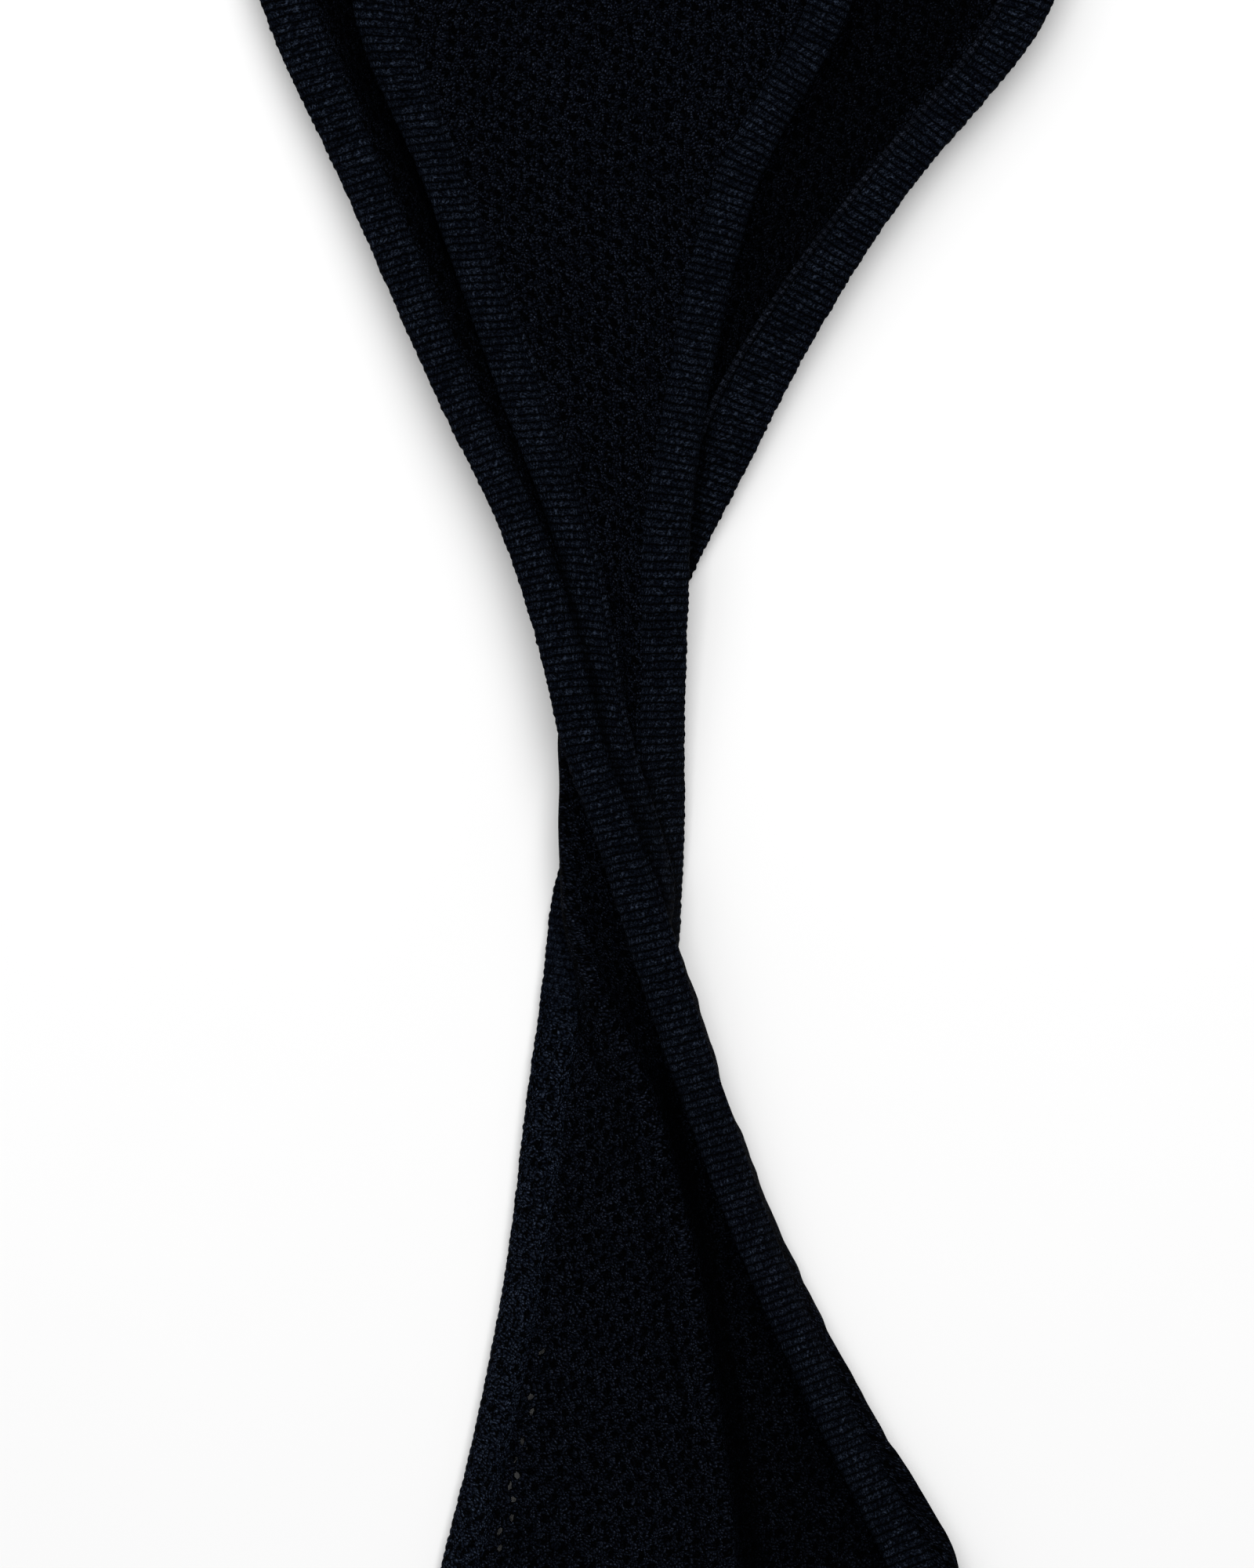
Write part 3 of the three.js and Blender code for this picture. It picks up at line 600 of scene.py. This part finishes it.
# where a band's inner edge runs, at the given places along the tie
def innerEdge(name, y, reach=0.0):
    spec = bands[name]
    x, z, tilt, width = spec["tracks"]
    turn = np.radians(tilt(y))
    half = (width(y) / 2 + reach) * spec["inner"]
    return np.stack([x(y) + half * np.cos(turn), y, z(y) + half * np.sin(turn)], -1)


# the openwork between the bands
# folds are points across the panel at each place along the tie, from the left band to the right band
panels = {
    "blade_mesh_panel": {"left": "blade_left_band", "right": "blade_right_band",
        "columns": 76, "thickness": 0.8,
        "flat": (82.8, 657), "area": 44700, "end": tipY - hemDepth + 1,
        "open": [(20, 34, -0.5, -0.27), (-70, -47, 0.45, 0.5)],
        "groove": [(-8, -9.6), (-13.5, -8.9), (-18.8, -6.3), (-33.8, -0.9), (-45, 1.0), (-56, 2.9),
                   (-71, 4.7), (-84, 5.4)],
        "shaded": [
            (0.6, [(100, 19.5, 38), (79, 19.1, 33), (60, 9.7, 19), (41, 5.2, 6.5), (26, 2.5, 4)]),
            (0.72, [(100, -35, -30), (79, -32.6, -28), (60, -25.2, -20), (41, -17, -12), (22, -9, -6)]),
            (0.5, [(-12, -6.6, -2.8), (-15, -5.6, -1.5), (-26, -0.4, 2.3), (-41, 3.6, 8.4), (-56, 5.9, 15.2),
                    (-71, 7.8, 22.6), (-83, 8.6, 28), (-105, 9, 31)]),
            (0.92, [(-22, -2.2, 0.8), (-26, -0.4, 2.3), (-41, 3.6, 6.4), (-56, 5.9, 8.9),
                    (-71, 7.8, 11.0), (-83, 8.6, 11.6), (-105, 9, 12)]),
            (0.55, [(-10, -12, -8.9), (-15, -9.4, -8.2), (-26, -4.2, -3.2), (-41, -0.1, 0.9), (-56, 2.3, 3.3),
                    (-71, 4.2, 5.2), (-80, 5, 6)]),
            (-1.9, [(-10, -8.6, -7.2), (-15, -7.6, -6.0), (-26, -2.5, -0.9), (-41, 1.5, 3.1), (-56, 3.9, 5.5),
                     (-71, 5.8, 7.3), (-84, 6.6, 8.1)]),
            (0.12, [(-15, 2.2, 7), (-26, 6.2, 11), (-41, 11.2, 16), (-56, 18.8, 24), (-71, 27, 33),
                    (-90, 31, 36)])],
        "folds": [
        (tipY, (-30, 0.5), (-18, 0.5), (-6, 0.5), (6, 0.5), (18, 0.5), (30, 0.5)),
        (115, (-30, 0.5), (-18, 0.5), (-6, 0.5), (6, 0.5), (18, 0.5), (30, 0.5)),
        (79, (-31.2, 3.0), (-29.8, 1.2), (-24, 0.6), (-8, 0.55), (10, 0.6), (24, 1.5)),
        (60, (-23.2, 3.9), (-22.0, 1.6), (-18, 0.65), (-8, 0.55), (4, 0.6), (13, 1.5)),
        (41, (-14.9, 4.9), (-14.1, 2.6), (-12.0, 0.95), (-6.5, 0.6), (-1, 0.6), (3.6, 1.1)),
        (26, (-9.1, 5.5), (-8.9, 3.4), (-8.0, 1.3), (-5.5, 0.75), (-3.0, 0.7), (-1.0, 1.1)),
        (15, (-7.0, 5.8), (-7.5, 4.3), (-8.0, 2.8), (-7.2, 1.4), (-5.4, 1.1), (-4.3, 1.8)),
        (7.5, (-5.5, 6.0), (-7.0, 5.4), (-8.7, 4.7), (-8.8, 3.4), (-7.4, 2.6), (-5.8, 3.0)),
        (0, (-2.7, 6.2), (-4.6, 5.3), (-7.2, 4.9), (-8.7, 5.0), (-8.7, 3.7), (-7.0, 2.9)),
        (-7.5, (0.2, 5.9), (-2.2, 4.6), (-5.6, 4.0), (-7.9, 5.0), (-8.6, 4.0), (-7.4, 2.5)),
        (-15, (2.7, 2.6), (0.6, 4.2), (-3.9, 3.4), (-5.9, 4.9), (-7.0, 4.0), (-7.2, 2.6)),
        (-26, (6.4, 1.5), (4.3, 3.5), (1.0, 2.7), (-0.9, 5.1), (-2.4, 4.5), (-5.4, 3.6)),
        (-41, (12.5, 2.2), (10.0, 3.1), (4.9, 2.0), (3.1, 5.2), (1.5, 4.6), (-5.0, 3.6)),
        (-56, (20.2, 3.4), (16.5, 2.5), (7.4, 1.8), (5.4, 5.0), (3.8, 4.4), (-5.0, 3.5)),
        (-71, (28.9, 4.6), (23.5, 2.6), (9.5, 1.8), (7.2, 4.8), (5.4, 4.2), (-6.0, 3.4)),
        (-83, (32.2, 2.6), (25, 2.5), (10.4, 2.0), (8.0, 4.5), (6.0, 4.0), (-8, 3.2)),
        (-100, (32.5, 1.4), (26, 2.5), (12, 2.4), (8.5, 3.9), (6.2, 3.6), (-9, 3.0)),
        (-130, (32.0, 1.0), (28.6, 2.7), (14, 3.05), (4, 3.1), (-8, 3.05), (-20.6, 2.7)),
        (-205, (22, 3.1), (13, 3.1), (6, 3.1), (-2, 3.1), (-10, 3.1), (-17.5, 3.1)),
        (joinY, (10, 3.12), (6, 3.12), (2, 3.12), (-2, 3.12), (-6, 3.12), (-10, 3.12))]},
    "tail_mesh_panel": {"left": "tail_left_band", "right": "tail_right_band", "columns": 56, "thickness": 0.8,
        "flat": (47.8, 612), "area": 25400, "end": tailTipY - hemDepth + 1, "folds": [
        (tailTipY, (-15, 2.6), (-1.5, 2.6), (12, 2.6)), (115, (-15, 2.6), (-1.5, 2.6), (12, 2.6)),
        (79, (-14, 3.1), (-3, 2.7), (7, 2.9)), (60, (-11.5, 4.2), (-5.6, 3.6), (0.6, 3.6)),
        (41, (-7.6, 5.2), (-4.2, 4.5), (-1.2, 4.4)), (26, (-4.6, 6.3), (-3.5, 5.6), (-2.5, 5.6)),
        (15, (-3.6, 6.3), (-2.9, 5.3), (-2.1, 5.5)), (7.5, (-2.6, 6.0), (-2.1, 4.9), (-1.7, 5.0)),
        (0, (-0.5, 5.3), (-0.9, 4.4), (-1.2, 4.6)), (-7.5, (0.3, 4.4), (-0.3, 3.8), (-0.6, 4.0)),
        (-15, (0.6, 2.6), (0.2, 1.8), (0, 1.5)), (-26, (1.2, 1.1), (0, 0.8), (-1.3, 0.8)),
        (-41, (6, 0.7), (2, 0.6), (-2.4, 0.6)), (-56, (12, 0.65), (4.5, 0.6), (-3, 0.6)),
        (-71, (17, 0.6), (7, 0.55), (-4, 0.6)), (-96, (18, 0.6), (6, 0.55), (-8, 0.6)),
        (-130, (18, 0.6), (4, 0.55), (-10, 0.6)), (-205, (14, 0.6), (2.3, 0.6), (-10, 0.6)),
        (joinY, (10, 0.6), (0, 0.6), (-10, 0.6))]},
}


# evenly spaced points on a smooth curve through a row of points, for every row at once
def curveAcross(corners, columns):
    count = corners.shape[1]
    first, last = corners[:, :1] * 2 - corners[:, 1:2], corners[:, -1:] * 2 - corners[:, -2:-1]
    pad = np.concatenate([first, corners, last], 1)
    t = np.linspace(0, count - 1 - 1e-6, columns * 3)
    k = t.astype(int)
    f = (t - k)[None, :, None]
    a, b, c, d = (pad[:, k + n] for n in range(4))
    tight = 0.42
    m1, m2 = (c - a) * tight, (d - b) * tight
    dense = ((2 * f ** 3 - 3 * f ** 2 + 1) * b + (f ** 3 - 2 * f ** 2 + f) * m1
             + (-2 * f ** 3 + 3 * f ** 2) * c + (f ** 3 - f ** 2) * m2)
    step = np.linalg.norm(np.diff(dense, axis=1), axis=2)
    run = np.concatenate([np.zeros((len(dense), 1)), np.cumsum(step, axis=1)], 1)
    result = np.empty((len(dense), columns, 3))
    for row in range(len(dense)):
        even = np.linspace(0, run[row, -1], columns)
        for axis in range(3):
            result[row, :, axis] = np.interp(even, run[row], dense[row, :, axis])
    return result, run[:, -1]


sections = {"fineUpTo": 92, "fine": 0.5, "far": 2.2}  # steps along the cloth, close together near the waist


def makePanel(name, spec):
    reach, far = sections["fineUpTo"], sections["far"]
    near = np.arange(-reach, reach + 0.1, sections["fine"])
    above = np.arange(reach + far, spec["end"], far)
    below = np.arange(-reach - far, joinY, -far)[::-1]
    y = np.concatenate([[joinY + 0.2], below[below > joinY + 1], near, above, [spec["end"]]])
    ys = [row[0] for row in spec["folds"]]
    columns = [innerEdge(spec["left"], y, -0.3)]
    for k in range(1, len(spec["folds"][0])):
        x = smoothTrack(ys, [row[k][0] for row in spec["folds"]])
        z = smoothTrack(ys, [row[k][1] for row in spec["folds"]])
        columns.append(np.stack([x(y), y, z(y)], -1))
    columns.append(innerEdge(spec["right"], y, -0.3))
    grid, run = curveAcross(np.stack(columns, 1), spec["columns"])
    middle = grid[:, spec["columns"] // 2]
    length = np.concatenate([[0], np.cumsum(np.linalg.norm(np.diff(middle, axis=0), axis=1))])
    share = np.linspace(-0.5, 0.5, spec["columns"])
    place = np.stack([share[None] * run[:, None] + 100, np.broadcast_to(length[:, None], grid.shape[:2])], -1)
    u, v = place[..., 0], place[..., 1]
    edge = np.clip((0.5 - np.abs(share))[None] * run[:, None] / 3.0 - 0.15, 0, 1)
    tucks = 0.26 * (softNoise(u, v, 1.3) - 0.5) + 0.22 * (softNoise(u + 40, v, 2.9) - 0.5)
    pleats = 0.35 * gathering(y)[:, None] * (softNoise(u, v * 0.12 + 9, 1.1) - 0.5)
    thickness = np.full(grid.shape[:2], spec["thickness"])
    openness = np.zeros(grid.shape[:2])
    for low, high, fromShare, toShare in spec.get("open", []):
        inside = (y[:, None] > low) & (y[:, None] < high)
        openness[inside & (share[None] > fromShare) & (share[None] < toShare)] = 1
    relief = (tucks + pleats) * edge
    if "groove" in spec:
        rows = sorted(spec["groove"])
        middle = np.interp(y, [row[0] for row in rows], [row[1] for row in rows])[:, None]
        along = np.clip((y - rows[0][0]) / 8, 0, 1) * np.clip((rows[-1][0] - y) / 4, 0, 1)
        relief = relief - 0.9 * along[:, None] * np.exp(-((grid[..., 0] - middle) / 0.45) ** 2)
    shade = shadeOn(grid[..., 0], grid[..., 1], spec.get("shaded", []))
    piece = closedSheet(name + "_knit", grid, place, thickness, relief, meshMaterial,
                        {"openness": openness, "shade": shade})
    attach(piece, "root")
    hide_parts(name)
    return piece


panelPieces = {name: makePanel(name, spec) for name, spec in panels.items()}
print("mesh panels laid")


# the chain of thread linking each band to its openwork
seams = {
    "blade_left_linking_seam": {"band": "blade_left_band", "top": tipY, "radius": 0.3, "rise": -0.25},
    "blade_right_linking_seam": {"band": "blade_right_band", "top": tipY, "radius": 0.42, "rise": 0.6,
                                 "thread": seamHighlightMaterial},
    "tail_left_linking_seam": {"band": "tail_left_band", "top": tailTipY, "radius": 0.36, "rise": 0.3},
    "tail_right_linking_seam": {"band": "tail_right_band", "top": tailTipY, "radius": 0.3, "rise": -0.3},
}


def beadRelief(depth, pitch):
    def relief(length, angle):
        return depth * (1 - np.abs(np.cos(math.pi * length / pitch)) ** 0.8) + 0 * angle
    return relief


def makeSeam(name, spec):
    fine = np.linspace(joinY + 0.2, spec["top"], 5000)
    line = innerEdge(spec["band"], fine, 0.15)
    line[:, 2] += spec["rise"] * np.clip((fine + 4) / 12, -1.3, 1)
    at = evenSteps(line, rib["pitch"] / 4)
    line = np.stack([np.interp(at, np.arange(len(fine)), line[:, axis]) for axis in range(3)], -1)
    size = np.full(len(line), spec["radius"])
    piece = sweptTube(name + "_chain", line, size, size * 2, np.zeros(len(line)), 8,
                      beadRelief(0.14, rib["pitch"]), spec.get("thread", threadMaterial), roundness=1)
    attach(piece, "root")
    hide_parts(name)
    return piece


for name, spec in seams.items():
    makeSeam(name, spec)
print("linking seams worked")


def spanOf(node):
    low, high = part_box(node)
    return np.array(low) / mm, np.array(high) / mm


def makeHem(name):
    low, high = spanOf(name)
    y, z = (low[1] + high[1]) / 2, (low[2] + high[2]) / 2
    x = np.arange(low[0], high[0] + 0.01, rib["pitch"] / rib["perCourse"])
    line = np.stack([x, np.full(len(x), y), np.full(len(x), z)], -1)
    half = np.full(len(x), (high[1] - low[1]) / 2)
    thick = np.full(len(x), high[2] - low[2])
    piece = sweptTube(name + "_knit", line, half, thick, np.zeros(len(x)), 22, ribRelief, bandMaterial,
                      roundness=0.6)
    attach(piece, "root")
    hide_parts(name)


# thread laid to and fro in close turns, filling the box of its node
def makeTack(name, turns, threadRadius, acrossX=True):
    low, high = spanOf(name)
    middle = (low + high) / 2
    reach = (high - low) / 2 - threadRadius
    count = turns * 24
    t = np.linspace(0, 1, count)
    sweep = np.sin(t * turns * math.pi)
    travel = 2 * t - 1
    line = np.empty((count, 3))
    line[:, 0] = middle[0] + reach[0] * (travel if acrossX else sweep)
    line[:, 1] = middle[1] + reach[1] * (sweep if acrossX else travel)
    line[:, 2] = middle[2] + 0.05 * np.cos(t * turns * math.pi)
    size = np.full(count, threadRadius)
    piece = sweptTube(name + "_thread", line, size, size * 2, np.zeros(count), 8, beadRelief(0.03, 0.4),
                      threadMaterial, roundness=1)
    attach(piece, "root")
    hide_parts(name)


def makeJoinSeam(name):
    low, high = spanOf(name)
    y, z = (low[1] + high[1]) / 2, (low[2] + high[2]) / 2
    x = np.arange(low[0], high[0] + 0.01, 0.15)
    line = np.stack([x, np.full(len(x), y), np.full(len(x), z)], -1)
    half = np.full(len(x), (high[1] - low[1]) / 2 + 0.25)
    thick = np.full(len(x), high[2] - low[2])
    piece = sweptTube(name + "_overlock", line, half, thick, np.zeros(len(x)), 12, beadRelief(0.22, 0.6),
                      threadMaterial, roundness=0.9)
    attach(piece, "root")
    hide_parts(name)


for half in ("blade", "tail"):
    makeHem(half + "_tip_hem")
    makeJoinSeam(half + "_neck_join_seam")
    for side in ("left", "right"):
        makeTack(f"{half}_{side}_corner_tack", 13, 0.2)
for side in ("left", "right"):
    makeTack(f"keeper_{side}_tack", 21, 0.2, acrossX=False)
print("hems, tacks and join seams sewn")


# the neck piece, folded back under itself
neck = {"bandRest": 0.95, "stacked": 3.12, "thickness": 0.8, "bandWidth": 4.9, "seamRadius": 0.34}


def neckLine(step):
    low = neck["bandRest"]
    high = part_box("neck_left_band")[1].z / mm - rib["thickness"] / 2
    radius = (high - low) / 2
    turnY = neckY + rib["thickness"] / 2 + radius
    start = neckStartY - 0.2
    t = np.linspace(0, 1, 60)
    lift = np.clip((t - 0.35) / 0.65, 0, 1)
    height = neck["stacked"] + (high - neck["stacked"]) * lift ** 2 * (3 - 2 * lift)
    rise = np.stack([start + (turnY - start) * t, height], -1)
    angle = np.linspace(0, math.pi, 40)[1:]
    bend = np.stack([turnY - radius * np.sin(angle), low + radius + radius * np.cos(angle)], -1)
    back = np.stack([np.linspace(turnY, start, 40)[1:], np.full(39, low)], -1)
    line = np.concatenate([rise, bend, back])
    line = np.stack([np.zeros(len(line)), line[:, 0], line[:, 1]], -1)
    at = evenSteps(line, step)
    return np.stack([np.interp(at, np.arange(len(line)), line[:, axis]) for axis in range(3)], -1)


def makeNeck():
    line = neckLine(rib["pitch"] / rib["perCourse"])
    count = len(line)
    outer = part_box("neck_right_band")[1].x / mm
    middle = outer - neck["bandWidth"] / 2
    inner = outer - neck["bandWidth"]
    for side, sign in (("left", -1), ("right", 1)):
        shifted = line + np.array([sign * middle, 0, 0])
        band = sweptTube(f"neck_{side}_band_knit", shifted, np.full(count, neck["bandWidth"] / 2),
                         np.full(count, rib["thickness"]), np.zeros(count), rib["around"], ribRelief,
                         bandMaterial, side=(1, 0, 0))
        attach(band, "root")
        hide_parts(f"neck_{side}_band")
        shifted = line + np.array([sign * (inner - 0.2), 0, 0])
        size = np.full(count, neck["seamRadius"])
        chain = sweptTube(f"neck_{side}_linking_seam_chain", shifted, size, size * 2, np.zeros(count), 8,
                          beadRelief(0.14, rib["pitch"]), threadMaterial, side=(1, 0, 0), roundness=1)
        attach(chain, "root")
        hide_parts(f"neck_{side}_linking_seam")
    coarse = neckLine(0.8)
    x = np.linspace(-inner - 0.3, inner + 0.3, 40)
    grid = coarse[:, None] + np.stack([x, 0 * x, 0 * x], -1)[None]
    length = np.arange(len(coarse)) * 0.8
    place = np.stack([np.broadcast_to(x + 100, grid.shape[:2]),
                      np.broadcast_to(length[:, None], grid.shape[:2])], -1)
    tucks = 0.2 * (softNoise(place[..., 0], place[..., 1], 1.3) - 0.5)
    plain = np.zeros(grid.shape[:2])
    panel = closedSheet("neck_panel_knit", grid, place, np.full(grid.shape[:2], neck["thickness"]), tucks,
                        meshMaterial, {"openness": plain, "shade": plain})
    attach(panel, "root")
    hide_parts("neck_panel")


makeNeck()
print("neck piece folded")


# fine ribs of warp crossed by weft, for ribbon and label
def buildRibbonWeave():
    group, given, result = makeGroup("ribbonWeave", [
        ("Place", "Vector", None), ("Warp", "Float", 0.22), ("Weft", "Float", 0.3),
        ("Wander", "Float", 0.05)],
        [("Height", "Float"), ("Bead", "Float"), ("Groove", "Float"), ("Tone", "Float")])
    u, v = parts(group, given["Place"])
    drift = calc(group, "SUBTRACT", noiseAt(group, given["Place"], 1.5, 2.0), 0.5)
    u = calc(group, "MULTIPLY_ADD", drift, given["Wander"], u)
    warp = calc(group, "DIVIDE", u, given["Warp"])
    weft = calc(group, "DIVIDE", v, given["Weft"])
    weft = calc(group, "MULTIPLY_ADD", calc(group, "FLOOR", warp), 0.5, weft)
    up = calc(group, "ABSOLUTE", calc(group, "SINE", calc(group, "MULTIPLY", warp, math.pi)))
    over = calc(group, "ABSOLUTE", calc(group, "SINE", calc(group, "MULTIPLY", weft, math.pi)))
    bead = calc(group, "MULTIPLY", up, calc(group, "POWER", over, 0.6))
    chance = addNode(group, "ShaderNodeTexWhiteNoise", noise_dimensions="2D")
    cell = vectorFrom(group, calc(group, "FLOOR", warp), calc(group, "FLOOR", weft))
    feed(group, chance.inputs["Vector"], cell)
    feed(group, result["Height"], bead)
    feed(group, result["Bead"], bead)
    feed(group, result["Groove"], ease(group, up, 0.0, 0.4, 1.0, 0.0))
    feed(group, result["Tone"], chance.outputs["Value"])
    return group


ribbonWeave = buildRibbonWeave()
keeperLook = {"deep": (0.0002, 0.0003, 0.0007, 1), "body": (0.0018, 0.0027, 0.006, 1),
              "glint": (0.009, 0.013, 0.025, 1),
              "knit": {"Warp": 0.32, "Weft": 0.5, "Wander": 0.05}, "unevenness": 0.2, "bump": 0.6,
              "relief": 0.06, "shine": 0.02, "sheen": 0.001}
labelLook = {"deep": (0.004, 0.005, 0.008, 1), "body": (0.012, 0.014, 0.022, 1),
             "glint": (0.04, 0.046, 0.06, 1),
             "knit": {"Warp": 0.16, "Weft": 0.42, "Wander": 0.03}, "unevenness": 0.15, "bump": 0.4,
             "relief": 0.03, "shine": 0.25, "sheen": 0.004}
keeperMaterial = clothMaterial("keeper ribbon", ribbonWeave, keeperLook, "Groove")
labelMaterial = clothMaterial("blank satin label", ribbonWeave, labelLook, "Groove")

keeper = {"thickness": 0.6, "rows": 25, "inset": 0.35, "clear": 0.75, "selvedge": 0.12}
labelCloth = {"thickness": 0.26, "fold": 2.2, "foldRise": 0.14, "ripple": 0.1, "rippleLength": 7}


def makeKeeper():
    low, high = spanOf("keeper_loop")
    tailLow, tailHigh = spanOf("tail_left_band")[0][0], spanOf("tail_right_band")[1][0]
    foot = low[2] + keeper["inset"]
    top = high[2] - keeper["inset"]
    inner = keeper["clear"]
    corners = np.array([(low[0] + 0.2, foot), (tailLow - inner - 0.6, foot), (tailLow - inner, foot + 0.7),
                        (tailLow - inner + 0.1, top - 0.8), (tailLow + 0.7, top - 0.02), (tailLow + 8, top),
                        (-1.5, top - 0.05), (tailHigh - 8, top), (tailHigh - 0.7, top - 0.02),
                        (tailHigh + inner - 0.1, top - 0.8), (tailHigh + inner, foot + 0.7),
                        (tailHigh + inner + 0.6, foot), (high[0] - 0.2, foot)])
    corners = np.stack([corners[:, 0], np.zeros(len(corners)), corners[:, 1]], -1)[None]
    across = curveAcross(corners, 150)[0][0]
    y = np.linspace(low[1] + 0.1, high[1] - 0.1, keeper["rows"])
    grid = np.repeat(across[None], len(y), 0).copy()
    grid[..., 1] = y[:, None]
    run = np.concatenate([[0], np.cumsum(np.linalg.norm(np.diff(across, axis=0), axis=1))])
    place = np.stack([np.broadcast_to(y[:, None], grid.shape[:2]),
                      np.broadcast_to(run[None], grid.shape[:2])], -1)
    edge = np.abs(np.linspace(-1, 1, len(y)))[:, None] ** 12 * keeper["selvedge"]
    loop = closedSheet("keeper_loop_ribbon", grid, place, np.full(grid.shape[:2], keeper["thickness"]),
                       edge + np.zeros(grid.shape[:2]), keeperMaterial)
    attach(loop, "root")
    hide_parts("keeper_loop")


def makeLabel():
    low, high = spanOf("blank_label")
    x = np.linspace(low[0], high[0], 61)
    y = np.linspace(low[1], high[1], 37)
    grid = np.zeros((len(y), len(x), 3))
    grid[..., 0], grid[..., 1] = x[None], y[:, None]
    endFold = np.clip(1 - np.minimum(x - x[0], x[-1] - x) / labelCloth["fold"], 0, 1)[None]
    ripple = labelCloth["ripple"] * (softNoise(grid[..., 0], grid[..., 1], labelCloth["rippleLength"]) - 0.5)
    grid[..., 2] = (low[2] + high[2]) / 2 + ripple
    relief = labelCloth["foldRise"] * np.sqrt(endFold) + np.zeros(grid.shape[:2])
    place = np.stack([grid[..., 0], grid[..., 1]], -1)
    thickness = np.full(grid.shape[:2], labelCloth["thickness"])
    label = closedSheet("blank_label_cloth", grid, place, thickness, relief, labelMaterial)
    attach(label, "root")
    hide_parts("blank_label")


makeKeeper()
makeLabel()
print("keeper and label sewn on")


def makeFloor():
    half, level = studio["floorHalf"], -studio["floorDrop"]
    corners = [(-half, -half, level), (half, -half, level), (half, half, level), (-half, half, level)]
    material = bpy.data.materials.new("studio paper")
    material.use_nodes = True
    tree = material.node_tree
    shader = next(n for n in tree.nodes if n.type == "BSDF_PRINCIPLED")
    shader.inputs["Specular IOR Level"].default_value = 0.1
    shader.inputs["Roughness"].default_value = 0.9
    place = addNode(tree, "ShaderNodeTexCoord").outputs["Object"]
    grain = addNode(tree, "ShaderNodeTexNoise")
    feed(tree, grain.inputs["Vector"], place)
    feed(tree, grain.inputs["Scale"], studio["floorGrain"])
    shade = [c * 0.99 for c in studio["floorColour"][:3]] + [1]
    feed(tree, shader.inputs["Base Color"],
         blendColour(tree, grain.outputs[0], tuple(shade), studio["floorColour"]))
    floor = makeObject("studio_floor", np.array(corners), [[0, 1, 2, 3]], np.zeros((4, 2)), material)


def makeLight(name, power, place, size):
    data = bpy.data.lights.new(name, "AREA")
    data.energy, data.size = power, size * mm
    lamp = bpy.data.objects.new(name, data)
    lamp.location = [c * mm for c in place]
    aim = -np.array(place, float)
    lamp.rotation_euler = Vector(aim).to_track_quat("-Z", "Y").to_euler()
    bpy.context.scene.collection.objects.link(lamp)


makeFloor()
makeLight("key", studio["keyPower"], studio["keyPlace"], studio["keySize"])
makeLight("fill", studio["fillPower"], studio["fillPlace"], studio["fillSize"])
world = bpy.data.worlds.new("soft sky")
world.use_nodes = True
world.node_tree.nodes["Background"].inputs["Color"].default_value = (1, 1, 1, 1)
world.node_tree.nodes["Background"].inputs["Strength"].default_value = studio["skyStrength"]
bpy.context.scene.world = world
bpy.context.scene.view_settings.view_transform = "Standard"  # keeps the paper white and the navy deep
